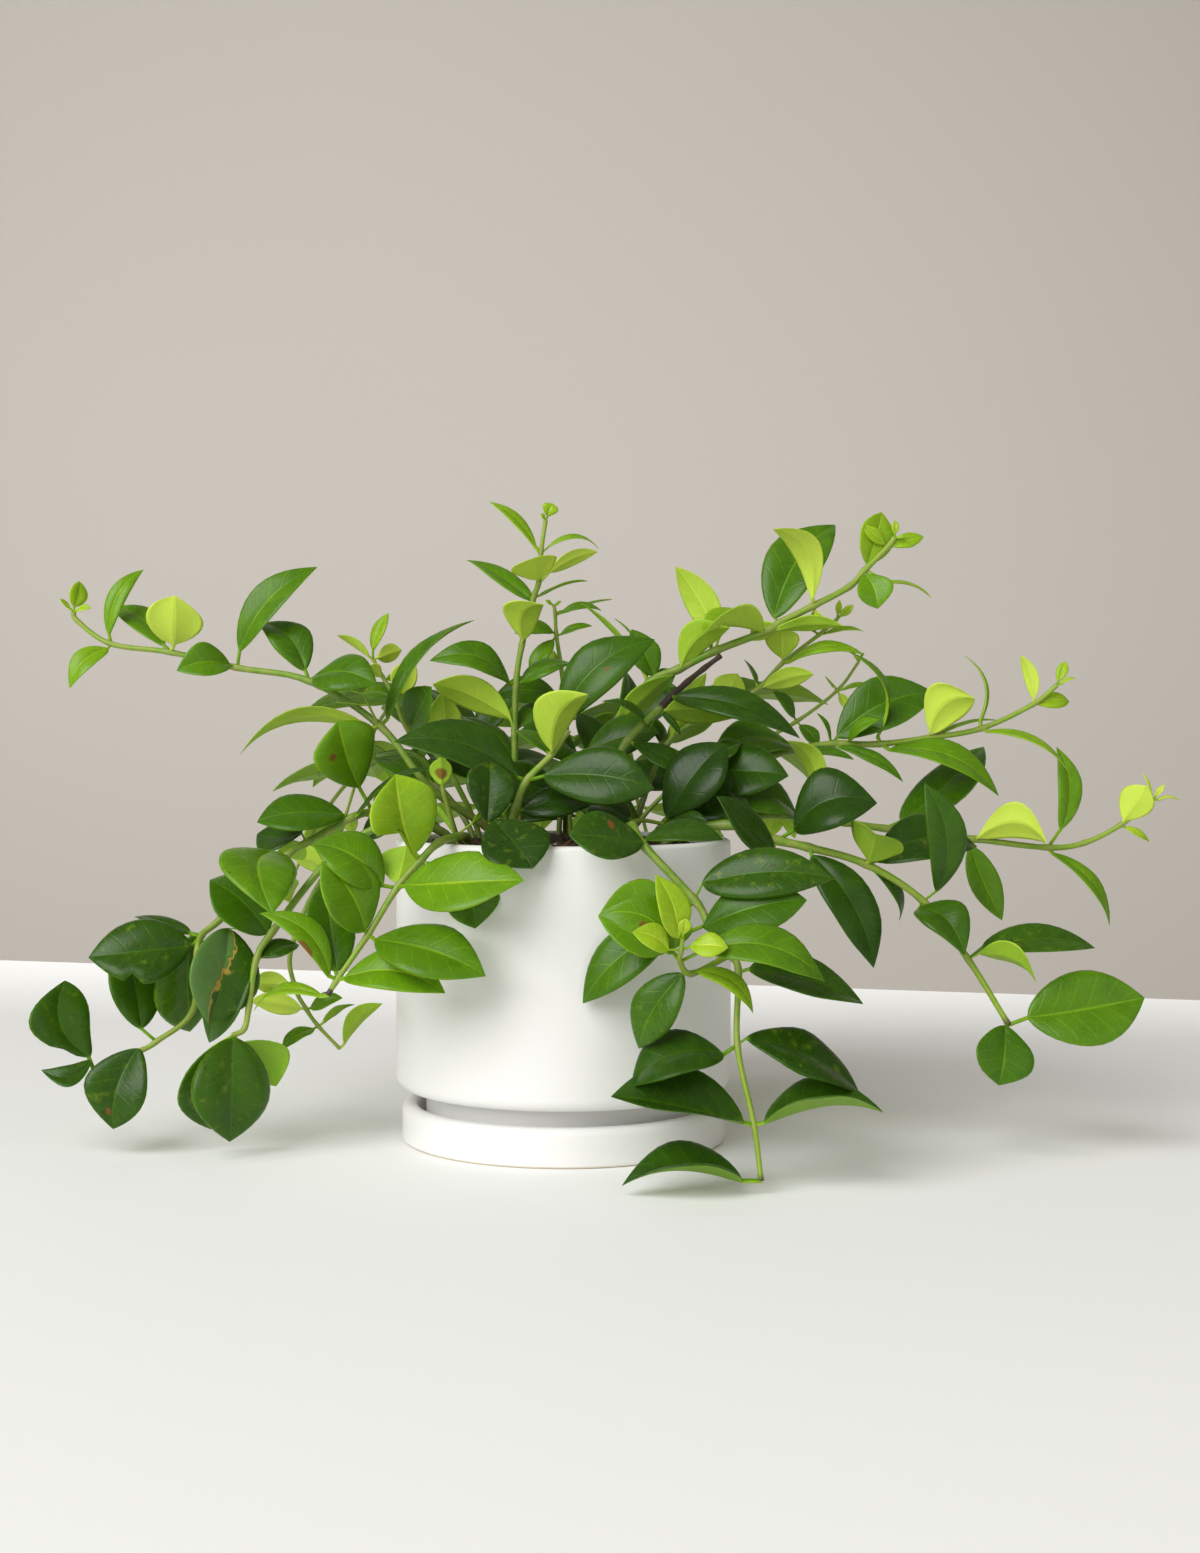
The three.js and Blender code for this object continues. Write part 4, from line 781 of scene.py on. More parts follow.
        [-152, 84, -32], [-199.5, 76, -13, 30, 22, 0.05, 0.14, 0.16, -156, 80, -0.03],
            [-154.5, 41.5, 16, 30, 25, 0.05, 0.14, 0.36, -156, 84, -0.07],
            [-180, 94, 10, 12, 55, 0.1, 0.14, 0.17, -157, 85, -0.08],
        [-154, 76, -38],
        [-156, 52, -30],
        [-171, 39.5, -32], [-184, 82, 16, 22.5, 22, 0.05, 0.14, 0.19, -177.5, 45],
        [-178, 35.5, -34], [-190, 3, -10, 26, 22, 0.05, 0.3, 0.19, -178.5, 36.5, 0.08],
        [-197.5, 28, -37], [-209, 65.5, 6, 26, 22, 0.1, 0.14, 0.2, -199.5, 33, -0.27, 1],
            [-219.5, 28.5, -6, 10.5, 30, 0.15, 0.3, 0.2, -198.5, 31, -0.32],
    ]),
    ("stem_left_rear", [-51, 15], 2.8, [
        [-66, 134, 26],
        [-98, 112, 20], [-116, 119, 10, 12, 150, 0.1, 0.14, 0.62],
        [-114, 80, 12],
        [-113, 63, 8], [-130, 64, 6, 13, 150, 0.05, 0.14, 0.69],
        [-108, 53, 6], [-131, 57, 10, 11, 150, 0.05, 0.14, 0.74], [-93, 58, -6, 9, 40, 0.1, 0.14, 0.44],
        [-103, 46, 4], [-118.5, 36.5, -10, 11, 55, 0.12, 0.14, 0.49],
            [-88, 55.5, 4, 8, 120, 0.1, 0.14, 0.49],
        [-94, 36.5, 2], [-76, 55.5, 6, 12, 120, 0.18, 0.14, 0.55],
    ]),
    ("stem_front_right", [20, -40], 2.8, [
        [30, 132, -34], [12, 141, 10, 19.5, 57, 0.06, 0.14, 0.08],
        [42, 131, -26], [67, 165.5, -3, 27, 22, 0.05, 0.14, 0.02, 43.5, 133.5, 0.02, 1.5],
            [60, 133, -13, 9, 55, 0.06, 0.14, 0.1],
    ]),
    ("stem_back_left", [-22, 32], 2.8, [
        [-28, 134, 35], [6, 136, 10, 22, 52, 0.08, 0.14, 0.1],
        [-32, 150, 38], [-58, 164, -5, 18, 44, 0.1, 0.14, 0.16], [-4, 160, 14, 20, 46, 0.1, 0.2, 0.14],
        [-36, 166, 42], [-58, 188, 12, 19, 50, 0.1, 0.14, 0.22], [-22, 186, 10, 17, 40, 0.08, 0.2, 0.24],
    ]),
    ("stem_back_right", [8, 38], 2.8, [
        [12, 135, 41], [28, 127, -10, 13, 50, 0.1, 0.14, 0.1], [-12, 150, 14, 17, 45, 0.1, 0.14, 0.12],
        [18, 150, 44], [56, 149, -8, 22, 42, 0.1, 0.14, 0.14], [6, 178, 12, 18, 38, 0.08, 0.2, 0.16],
        [24, 166, 46], [54, 188, -6, 15, 46, 0.1, 0.14, 0.2], [28, 196, 12, 16, 42, 0.08, 0.2, 0.24],
    ]),
]

# The far side of the plant: shoots that fan out behind the pot, high and low in turn. A pair of
# leaves at each joint is given by length, degrees aside of the stem, and rise.
REAR_SHOOTS = 6
REAR_FIRST_ANGLE = 50
REAR_LAST_ANGLE = 150
REAR_GIRTH = 2.8
REAR_ROOT_RADIUS = 48
REAR_REACH = 112
REAR_ARCH = 222
REAR_END = 132
REAR_DROOP = 62
REAR_LIFT = 23
REAR_JOINTS = 5
REAR_PAIRS = ((34, 66, 0.3), (44, 62, -0.1), (44, 52, 0.15), (36, 46, -0.12), (17, 30, 0.1))
REAR_TILT = 0.5
REAR_LEAF_ARCH = 0.08
LEAF_SLIMNESS = 0.56
REAR_ANGLE_SCATTER = 2
REAR_REACH_SCATTER = 8
REAR_ROOT_SCATTER = 6
REAR_BEND = 3
REAR_SIZE_SCATTER = 0.12
REAR_SPREAD_SCATTER = 9
REAR_SIDE_REACH = 0.75  # of the reach straight back
REAR_FOLD = 0.14
REAR_TONE = 0.08
REAR_TONE_STEP = 0.1
REAR_TONE_SCATTER = 0.06


def seen(across, up, depth):
    """The point that the camera sees at (across, up) on the plane through the pot's axis."""
    near = (depth - EYE.y) / -EYE.y
    return Vector((across * near, depth, EYE.z + (up - EYE.z) * near))


def usual_base(joint, tip):
    """Where a blade starts if its petiole is straight."""
    return joint.lerp(tip, min(PETIOLE_MOST_SHARE, PETIOLE_SHARE + PETIOLE_LEAST / (tip - joint).length))


def seen_leaf(joint, depth, across, up, beyond, width, turn, arch, fold, age_and_painted_shade, *rest):
    """A leaf as laid out above, with the direction that its upper side faces."""
    tip = seen(across, up, depth + beyond)
    base = seen(*rest[:2], depth + BASE_DEPTH * beyond) if rest else usual_base(joint, tip)
    sway, blunt = (*rest[2:], 0, 0)[:2]
    along = (tip - base).normalized()
    facing = EYE - base.lerp(tip, 0.5)
    facing = (facing - along * facing.dot(along)).normalized()
    skyward = along.cross(facing)
    if skyward.z + SKY_LEAN * skyward.x < 0:
        skyward = -skyward
    angle = math.radians(turn)
    return dict(
        joint=joint, base=base, tip=tip, seen_tip=(across, up),
        upper=facing * math.cos(angle) + skyward * math.sin(angle),
        width=width, arch=arch, fold=fold, age_and_painted_shade=age_and_painted_shade, bend=skyward * sway, blunt=blunt,
    )


def seen_shoot(name, root, girth, rows):
    """A shoot as laid out above: its joints as points, and its leaves."""
    joints = []
    leaves = []
    for row in rows:
        if len(row) == 3:
            joints.append(seen(*row))
            depth = row[2]
        else:
            leaves.append(dict(seen_leaf(joints[-1], depth, *row), at=len(joints) - 1))
    return dict(name=name, root=root, girth=girth, joints=joints, leaves=leaves)


def scatter(number):
    """An even, repeatable scatter of numbers from -1 to 1."""
    return 2 * (number * 0.618034 % 1) - 1


def rear_shoot(number):
    """A shoot that arches out of the mix behind and droops, with a pair of leaves at each joint."""
    share = number / (REAR_SHOOTS - 1)
    degrees = REAR_FIRST_ANGLE + (REAR_LAST_ANGLE - REAR_FIRST_ANGLE) * share
    angle = math.radians(degrees + REAR_ANGLE_SCATTER * scatter(number))
    out = Vector((math.cos(angle), math.sin(angle), 0))
    aside = Vector((-out.y, out.x, 0))
    lift = -REAR_LIFT if number % 2 else REAR_LIFT
    end = REAR_END - (REAR_END - REAR_DROOP) * out.y**4 + lift
    reach = REAR_REACH * (REAR_SIDE_REACH + (1 - REAR_SIDE_REACH) * out.y)
    reach += REAR_REACH_SCATTER * scatter(number + 4)
    root = out * (REAR_ROOT_RADIUS + REAR_ROOT_SCATTER * scatter(number + 2))
    joints = []
    for j in range(1, REAR_JOINTS + 1):
        t = j / REAR_JOINTS
        bend = REAR_BEND * scatter(number + 7) * math.sin(math.pi * t)
        joint = root + out * reach * t + aside * bend
        joint.z = (1 - t) ** 2 * SOIL_CROWN + 2 * t * (1 - t) * (REAR_ARCH + lift) + t**2 * end
        joints.append(joint)
    leaves = []
    for j in range(1, REAR_JOINTS + 1):
        ahead = (joints[min(j, REAR_JOINTS - 1)] - joints[max(j - 2, 0)]).normalized()
        usual_length, usual_spread, rise = REAR_PAIRS[j - 1]
        for hand in (-1, 1):
            length = usual_length * (1 + REAR_SIZE_SCATTER * scatter(3 * j + hand + number))
            aside_scatter = REAR_SPREAD_SCATTER * scatter(2 * j + 5 * hand + 3 * number)
            spread = math.radians(usual_spread + aside_scatter)
            direction = ahead * math.cos(spread) + aside * math.sin(spread) * hand + Vector((0, 0, rise))
            direction.normalize()
            skyward = Vector((0, 0, 1)) + out * REAR_TILT
            tip = joints[j - 1] + direction * length
            leaves.append(dict(
                at=j - 1,
                joint=joints[j - 1],
                base=usual_base(joints[j - 1], tip),
                tip=tip,
                upper=(skyward - direction * skyward.dot(direction)).normalized(),
                width=length * LEAF_SLIMNESS,
                arch=REAR_LEAF_ARCH,
                fold=REAR_FOLD,
                age_and_painted_shade=REAR_TONE + REAR_TONE_STEP * j + REAR_TONE_SCATTER * scatter(j + number),
                bend=Vector((0, 0, 0)),
                blunt=0,
            ))
    name = f"stem_rear_{number + 1}"
    return dict(name=name, root=[root.x, root.y], girth=REAR_GIRTH, joints=joints, leaves=leaves)


def on_curve(points, span, share):
    """A point of the smooth curve through points, at a share of one of its spans."""
    first = points[span - 1] if span else points[0] * 2 - points[1]
    a, b = points[span], points[span + 1]
    last = points[span + 2] if span + 2 < len(points) else b * 2 - a
    slope_a = (b - first) / 2
    slope_b = (last - a) / 2
    t = share
    return (
        a * (2 * t**3 - 3 * t**2 + 1)
        + slope_a * (t**3 - 2 * t**2 + t)
        + b * (3 * t**2 - 2 * t**3)
        + slope_b * (t**3 - t**2)
    )


# The leaf blade that every leaf is formed from: a thin closed skin on a grid of shares across
# (-1 to 1) and along it (-1 to 0 is the petiole and 0 to 1 the blade).
BLADE_ACROSS = (0.94, 0.8, 0.6, 0.38, 0.18, 0.06, 0, -0.06, -0.18, -0.38, -0.6, -0.8, -0.94)
BACK_ACROSS = (-0.86, -0.5, -0.12, 0, 0.12, 0.5, 0.86)
BLADE_ALONG = (
    -1, -0.5, 0, 0.02, 0.05, 0.1, 0.17, 0.25, 0.34, 0.43,
    0.52, 0.61, 0.7, 0.78, 0.85, 0.91, 0.955, 0.985, 0.997,
)
SPAN_STEPS = 7  # rings of the stem between two joints
STEM_RINGS_ROUND = 12


def blank_leaf():
    """The blank grid as an object, with every point's place on it kept as an attribute."""
    ring = [(1, 0)] + [(x, 1) for x in BLADE_ACROSS] + [(-1, 0)] + [(x, -1) for x in BACK_ACROSS]
    sides = len(ring)
    places = [(x, s, z) for s in BLADE_ALONG for x, z in ring] + [(0, 1, 0)]
    faces = [tuple(range(sides))]
    for row in range(len(BLADE_ALONG) - 1):
        for side in range(sides):
            a = row * sides + side
            b = row * sides + (side + 1) % sides
            faces.append((b, a, a + sides, b + sides))
    last = (len(BLADE_ALONG) - 1) * sides
    faces += [(last + (side + 1) % sides, last + side, len(places) - 1) for side in range(sides)]
    mesh = bpy.data.meshes.new("blank_leaf")
    mesh.from_pydata([(x, s * 3, z * 0.1) for x, s, z in places], [], faces)
    place = mesh.attributes.new("place", "FLOAT_VECTOR", "POINT")
    place.data.foreach_set("vector", [value for point in places for value in point])
    return bpy.data.objects.new("blank_leaf", mesh)


# Damage that single leaves show, by the place of the leaf's tip. A bite or a spot is given by its
# share of the blade's length, the side (-1 to 1), and its size; a bite also by its depth.
MARKS = {
    (-70, 151.5): dict(bite=(0.2, -1, 0.8, 0.25), spot=(0.38, -0.3, 0.03)),
    (-17.5, 108): dict(bite=(0.74, -1, 0.22, 0.07)),
    (-199.5, 76): dict(bite=(0.62, -1, 0.32, 0.045), wear=1.0),
    (-209, 65.5): dict(bite=(0.14, -1, 0.3, 0.06), wear=0.7),
    (-148.5, 47): dict(scar=1, wear=0.9),
    (-154.5, 41.5): dict(wear=0.8),
    (-139, -2.5): dict(wear=0.9),
    (-148, 2.5): dict(wear=0.9),
    (-190, 3): dict(wear=0.8, spot=(0.82, 0.2, 0.05)),
    (-94, 173.5): dict(spot=(0.62, -0.45, 0.05)),
    (-121.5, 95.5): dict(wear=0.8),
    (2.5, 126.5): dict(spot=(0.45, 0.5, 0.06)),
    (37, 210): dict(spot=(0.55, 0.4, 0.025)),
    (15.5, 93.5): dict(spot=(0.5, -0.4, 0.07)),
    (223.5, 79.5): dict(spot=(0.2, 0.5, 0.1), wear=0.8),
    (113, 110.5): dict(wear=0.9),
    (30, 36.5): dict(wear=0.7),
    (-127, 94): dict(spot=(0.4, -1, 0.12)),
    (-51.5, 159): dict(spot=(0.4, 0, 0.22)),
}
NO_BITE = (0, 1, 0, 1)
NO_SPOT = (-9, 0, 1)

LEAF_VECTORS = ("start", "petiole_run", "blade_run", "side", "upper", "bend")
BITE = ("bite_at", "bite_side", "bite_depth", "bite_length")
SPOT = ("spot_at", "spot_side", "spot_size")
LEAF_SHAPE = (
    "width", "length", "petiole", "thickness", "base_power", "tip_power", "gain",
    "fold", "arch", "puff", "wave", "twist", "sway", "curl", "seed", *BITE,
)
LEAF_LOOK = ("age_and_painted_shade", "wear", "scar", *SPOT)
LEAF_SEED_STEP = 7919
LEAF_SEED_START = 11
NODE_SEED_STEP = 31


def leaf_numbers(leaf, sink, number):
    """Everything that forms one leaf, in metres, with its small differences from the others."""
    draw = random.Random(number * LEAF_SEED_STEP + LEAF_SEED_START)
    joint, base, tip = leaf["joint"], leaf["base"], leaf["tip"]
    length = (tip - base).length
    small = (tip - joint).length < SMALL_LEAF
    base_power = draw.uniform(0.54, 0.68)
    tip_power = draw.uniform(-0.15, 0.25) + leaf["blunt"] + TIP_POWER
    tip_power += TIP_GAIN * max(0, leaf["width"] / length - SLIM)
    widest = (base_power / (base_power + tip_power)) ** (1 / tip_power)
    start = joint + (base - joint).normalized() * sink
    marks = MARKS.get(leaf.get("seen_tip"), {})
    usual_wear = max(0.0, draw.uniform(-0.4, 1) - 1.3 * leaf["age_and_painted_shade"])
    return dict(
        start=start / 1000,
        petiole_run=(base - start) / 1000,
        blade_run=(tip - base) / 1000,
        side=(tip - base).normalized().cross(leaf["upper"]),
        upper=leaf["upper"],
        bend=leaf["bend"],
        width=leaf["width"] / 1000,
        length=length / 1000,
        petiole=(SMALL_PETIOLE_HALF if small else PETIOLE_HALF) / 1000,
        thickness=(SMALL_THICKNESS if small else BLADE_THICKNESS) / 1000,
        base_power=base_power,
        tip_power=tip_power,
        gain=1 / (widest**base_power * (1 - widest**tip_power)),
        fold=leaf["fold"],
        arch=leaf["arch"],
        puff=draw.uniform(0.02, 0.06),
        wave=draw.uniform(0.0, 0.06),
        twist=draw.uniform(-0.35, 0.35),
        sway=draw.uniform(-0.02, 0.02),
        curl=draw.uniform(0.0, 0.12),
        seed=draw.random(),
        age_and_painted_shade=leaf["age_and_painted_shade"] + draw.uniform(-0.035, 0.035),
        wear=marks.get("wear", usual_wear),
        scar=marks.get("scar", 0),
        **dict(zip(BITE, marks.get("bite", NO_BITE))),
        **dict(zip(SPOT, marks.get("spot", NO_SPOT))),
    )


# Stems that end in dry brown wood: over this length before their end, in mm.
DRY_ENDS = {
    "stem_woody": 38, "stem_front_hanging": 2.5, "stem_left_front": 2.5, "stem_right_drooping": 2.5,
}
SIDE_SHOOT_AGE = 0.3  # of a stem's age at its root
JOINT_SWELLING = 0.2
JOINT_REACH = 2.2  # how far a joint's swelling reaches along the stem
FAR = 99
RIPPLES = 11  # radians of wave along a blade's edge
MIDRIB_NARROWNESS = 9
MIDRIB_DEPTH = 0.00055  # metres
EDGE_ROLL = 1.6


def half_girth(shoot, share):
    """A stem's radius in mm, at a share of its length."""
    return shoot["girth"] / 2 * (1 - (1 - STEM_TIP_SHARE) * share)


def shoot_plan(name, shoots):
    """Stems as lines of points and leaves as loose points, which carry their sizes."""
    points, edges, records = [], [], []
    stem = dict(girth=[], age=[], joint_near=[], dead=[])
    for shoot in shoots:
        line = list(shoot["joints"])
        below, youth, dry = 0, SIDE_SHOOT_AGE, 0
        if shoot["root"]:
            line = [Vector((*shoot["root"], height)) for height in (ROOT_DEPTH, SOIL_CROWN)] + line
            below, youth, dry = 2, 1, DRY_ENDS.get(name, 0)
        spans = len(line) - 1
        first = len(points)
        for span in range(spans):
            gap = (line[span + 1] - line[span]).length
            for step in range(SPAN_STEPS + (span == spans - 1)):
                share = (span + step / SPAN_STEPS) / spans
                at = gap * step / SPAN_STEPS
                from_joint = min(at if span >= below else FAR, gap - at if span + 1 >= below else FAR)
                near = math.exp(-((from_joint / JOINT_REACH) ** 2))
                points.append(on_curve(line, span, step / SPAN_STEPS) / 1000)
                stem["girth"].append(half_girth(shoot, share) * (1 + JOINT_SWELLING * near) / 1000)
                stem["age"].append((1 - share) * youth)
                stem["joint_near"].append(near)
                stem["dead"].append(float((points[-1] * 1000 - line[-1]).length < dry))
        edges += [(k, k + 1) for k in range(first, len(points) - 1)]
        for leaf in shoot["leaves"]:
            is_tip = leaf["at"] == len(shoot["joints"]) - 1
            radius = half_girth(shoot, (below + leaf["at"]) / spans)
            sink = (-1 if is_tip else 1) * PETIOLE_SINK * radius
            records.append(leaf_numbers(leaf, sink, sum(map(ord, name)) + len(records) * NODE_SEED_STEP))
    mesh = bpy.data.meshes.new(name)
    mesh.from_pydata(points + [record["start"] for record in records], edges, [])
    no_stem, no_leaf = [0.0] * len(points), [0.0] * len(records)
    numbers = {label: values + no_leaf for label, values in stem.items()}
    numbers["is_leaf"] = no_stem + [1.0] * len(records)
    for label in LEAF_SHAPE + LEAF_LOOK:
        numbers[label] = no_stem + [record[label] for record in records]
    for label, values in numbers.items():
        mesh.attributes.new(label, "FLOAT", "POINT").data.foreach_set("value", values)
    for label in LEAF_VECTORS:
        values = no_stem * 3 + [value for record in records for value in record[label]]
        mesh.attributes.new(label, "FLOAT_VECTOR", "POINT").data.foreach_set("vector", values)
    return mesh


def kept(tree, label, kind="FLOAT"):
    """A named attribute of the geometry, as a term or, for a vector, as its socket."""
    node = new_node(tree, "GeometryNodeInputNamedAttribute", {"Name": label}, data_type=kind)
    return node.outputs[0] if kind == "FLOAT_VECTOR" else Term(tree, node.outputs[0])


def moved(tree, start, steps):
    """A start vector plus kept vectors that are each scaled by a term."""
    for label, amount in steps.items():
        inputs = {0: kept(tree, label, "FLOAT_VECTOR"), "Scale": amount}
        step = new_node(tree, "ShaderNodeVectorMath", inputs, operation="SCALE").outputs[0]
        start = new_node(tree, "ShaderNodeVectorMath", {0: start, 1: step}, operation="ADD").outputs[0]
    return start


def formed_place(tree):
    """Where each point of a blank leaf goes: the blade's outline, fold, arch, waves and twist."""
    (
        width, length, petiole, thickness, base_power, tip_power, gain, fold, arch, puff,
        wave, twist, sway, curl, seed, bite_at, bite_side, bite_depth, bite_length,
    ) = (kept(tree, label) for label in LEAF_SHAPE)
    x, s, z = parts(tree, kept(tree, "place", "FLOAT_VECTOR"))
    v = s.math("MAXIMUM", 0.0)
    rest = 1 - v
    aside = x.math("ABSOLUTE")
    blade = v.between(0.0, 0.12)
    from_bite = ((v - bite_at) / bite_length).math("ABSOLUTE")
    bitten = bite_depth * (1 - from_bite.between(0.5, 1)) * (x * bite_side).between(0, 0.4)
    half = width * 0.5 * gain * v**base_power * (1 - v**tip_power) * (1 - bitten)
    ripple = (v * RIPPLES + seed * 6.28 + x * 1.5).math("SINE")
    stalk = petiole * rest**0.6
    across = (half * half + stalk * stalk) ** 0.5
    round_side = (1 - x * x).math("MAXIMUM", 0.0) ** 0.5
    thick = stalk * round_side * (1 - blade) + blade * thickness * (1 - aside * 0.45) * rest**0.25
    midrib = (1 + (aside * MIDRIB_NARROWNESS) ** 4) ** -1
    groove = midrib * blade * rest * MIDRIB_DEPTH
    lift = half * (fold * aside**1.4 + puff * 4 * aside * (1 - aside) + wave * ripple * aside * aside)
    roll = half * aside**6 * curl * EDGE_ROLL
    height = z * thick + lift - groove - roll
    turn = twist * v
    turned_x = x * across * turn.math("COSINE") - height * turn.math("SINE")
    turned_z = x * across * turn.math("SINE") + height * turn.math("COSINE")
    bow = v * rest * length * 4
    return moved(tree, kept(tree, "start", "FLOAT_VECTOR"), {
        "petiole_run": s.math("MINIMUM", 0.0) + 1,
        "blade_run": v,
        "side": turned_x + bow * sway,
        "upper": turned_z + bow * arch - curl * length * v**4,
        "bend": bow,
    })


def shoot_tree():
    """Geometry nodes that grow a shoot from its plan: round stems, and a leaf at each loose point."""
    tree, given = new_growth("leafy_shoot", "Shoot", {
        "Plan": "Geometry", "Blank leaf": "Object", "Stem sides": "Int",
        "Stem finish": "Material", "Leaf finish": "Material",
    })
    line = new_node(tree, "GeometryNodeMeshToCurve", {"Mesh": given["Plan"]})
    size = {"Resolution": given["Stem sides"], "Radius": 1}
    circle = new_node(tree, "GeometryNodeCurvePrimitiveCircle", size)
    stem = new_node(tree, "GeometryNodeCurveToMesh", {
        "Curve": line.outputs[0],
        "Profile Curve": circle.outputs[0],
        "Scale": kept(tree, "girth"),
        "Fill Caps": True,
    })
    blank = new_node(tree, "GeometryNodeObjectInfo", {"Object": given["Blank leaf"]})
    placed = new_node(tree, "GeometryNodeInstanceOnPoints", {
        "Points": given["Plan"],
        "Selection": kept(tree, "is_leaf").math("GREATER_THAN", 0.5),
        "Instance": blank.outputs["Geometry"],
    })
    real = new_node(tree, "GeometryNodeRealizeInstances", {0: placed.outputs[0]})
    form = {"Geometry": real.outputs[0], "Position": formed_place(tree)}
    formed = new_node(tree, "GeometryNodeSetPosition", form)
    joined = new_node(tree, "GeometryNodeJoinGeometry")
    feed(tree, joined, {0: painted(tree, stem.outputs[0], given["Stem finish"])})
    feed(tree, joined, {0: painted(tree, formed.outputs[0], given["Leaf finish"])})
    smooth = new_node(tree, "GeometryNodeSetShadeSmooth", {"Geometry": joined.outputs[0]})
    new_node(tree, "NodeGroupOutput", {0: smooth.outputs[0]})
    return tree


# The greens of a leaf from old and dark to young and pale, as (age_and_painted_shade, colour);
# the same greens also carry the painted light and shade of single leaves.
LEAF_GREENS = (
    (0.0, (0.011, 0.034, 0.002)),
    (0.15, (0.022, 0.066, 0.003)),
    (0.35, (0.05, 0.135, 0.003)),
    (0.55, (0.12, 0.265, 0.005)),
    (0.75, (0.27, 0.43, 0.01)),
    (1.0, (0.6, 0.7, 0.08)),
)
UNDERSIDE = (0.34, 0.56, 0.05)
BLOTCH = (0.24, 0.32, 0.02)
SPECK = (0.035, 0.028, 0.008)
BROWN_SPOT = (0.17, 0.065, 0.012)
BLEACHED = (0.16, 0.3, 0.09)
SCAR_GOLD = (0.4, 0.26, 0.05)
TANNED = (0.3, 0.28, 0.07)
OLD_STEM = (0.105, 0.075, 0.035)
JOINT_RING = (0.24, 0.26, 0.06)
DRY_WOOD = ((0.01, 0.006, 0.004), (0.045, 0.022, 0.01))


def waxy_leaf():
    """A thick leaf skin: satin wax above, paler below, with midrib, faint veins, painted rim highlight
    and specks.
    """
    finish, tree, shader = new_finish("waxy_leaf")
    on_leaf = new_node(tree, "ShaderNodeAttribute", attribute_name="place")
    x, s, z = parts(tree, on_leaf.outputs["Vector"])
    age_and_painted_shade, wear, scar, spot_at, spot_side, spot_size = (carried(tree, label) for label in LEAF_LOOK)
    aside = x.math("ABSOLUTE")
    place = object_place(tree)
    clouds = grain(tree, place, 90, 3)
    pores = grain(tree, place, 1500, 2)

    under = (0 - z).between(-0.1, 0.1)
    vein = (s * 6.5 - aside * 1.7 + aside * aside * 0.5 + carried(tree, "seed")).math("FRACT") - 0.5
    vein = 1 - vein.math("ABSOLUTE").between(0.0, 0.1)
    vein = vein * aside.between(0.04, 0.1) * (1 - aside.between(0.75, 0.95)) * s.between(0.02, 0.08)
    midrib = 1 - aside.between(0.012, 0.06)
    # painted highlight: the thin edge of the blade is painted paler, where a translucent edge lets light
    # through
    rim = aside.between(0.93, 0.99)
    net = new_node(
        tree, "ShaderNodeTexVoronoi", {"Vector": place, "Scale": 480}, feature="DISTANCE_TO_EDGE"
    )
    mesh_of_veins = 1 - Term(tree, net.outputs["Distance"]).between(0.0, 0.12)

    # age_and_painted_shade is partly the leaf's age and partly painted light and shade
    paleness = age_and_painted_shade.between(0.2, 0.6)
    shift = clouds * 0.2 - 0.1 + midrib * (paleness * 0.08 + 0.1) + vein * 0.05 + mesh_of_veins * 0.03
    stalk = 1 - s.between(-0.05, 0.05)
    toned = age_and_painted_shade + shift + rim * 0.14 + under * 0.22 + stalk * (0.62 - age_and_painted_shade) * 0.8
    green = graded(tree, toned, LEAF_GREENS)
    pale = blended(tree, under * 0.4, green, UNDERSIDE)

    blotch = grain(tree, place, 260, 3).between(0.56, 0.74) * wear.between(0.35, 0.9)
    marked = blended(tree, blotch * 0.28, pale, BLOTCH)
    dots = new_node(tree, "ShaderNodeTexVoronoi", {"Vector": place, "Scale": 300})
    speck = 1 - Term(tree, dots.outputs["Distance"]).between(0.1, 0.2)
    rare = new_node(tree, "ShaderNodeSeparateColor", {0: dots.outputs["Color"]})
    speck = speck * Term(tree, rare.outputs[0]).between(0.62, 0.68) * wear.between(0.15, 0.6)
    specked = blended(tree, speck * 0.8, marked, SPECK)

    # A brown spot, and the long golden scar of the damaged leaf with its bleached half.
    jag = grain(tree, place, 300, 2) - 0.5
    from_spot = (((s - spot_at) / spot_size) ** 2 + ((x - spot_side) * 0.35 / spot_size) ** 2) ** 0.5
    spot = 1 - (from_spot + jag * 0.8).between(0.7, 1.1)
    spotted = blended(tree, spot * 0.9, specked, BROWN_SPOT)
    from_scar = x - s * 0.9 + 0.45 + jag * 0.5
    bleached = from_scar.between(0.0, 0.12) * scar * s.between(0.0, 0.1)
    bleak = blended(tree, bleached * 0.45, spotted, BLEACHED)
    line = 1 - from_scar.math("ABSOLUTE").between(0.02, 0.07)
    feed(tree, shader, {
        "Base Color": blended(tree, line * scar * 0.85, bleak, SCAR_GOLD),
        "Roughness": clouds * 0.12 + pores * 0.05 + 0.2 + under * 0.25 + spot * 0.2,
        "Specular IOR Level": 0.22,
        "Subsurface Weight": 0.25,
        "Subsurface Radius": (0.6, 1.0, 0.25),
        "Subsurface Scale": 0.0018,
    })
    height = pores * 0.1 + clouds * 0.25 - vein * 0.14 - mesh_of_veins * 0.05 - midrib * 0.2
    feed(tree, shader, {"Normal": relief(tree, height, 0.0006, 0.5)})
    return finish


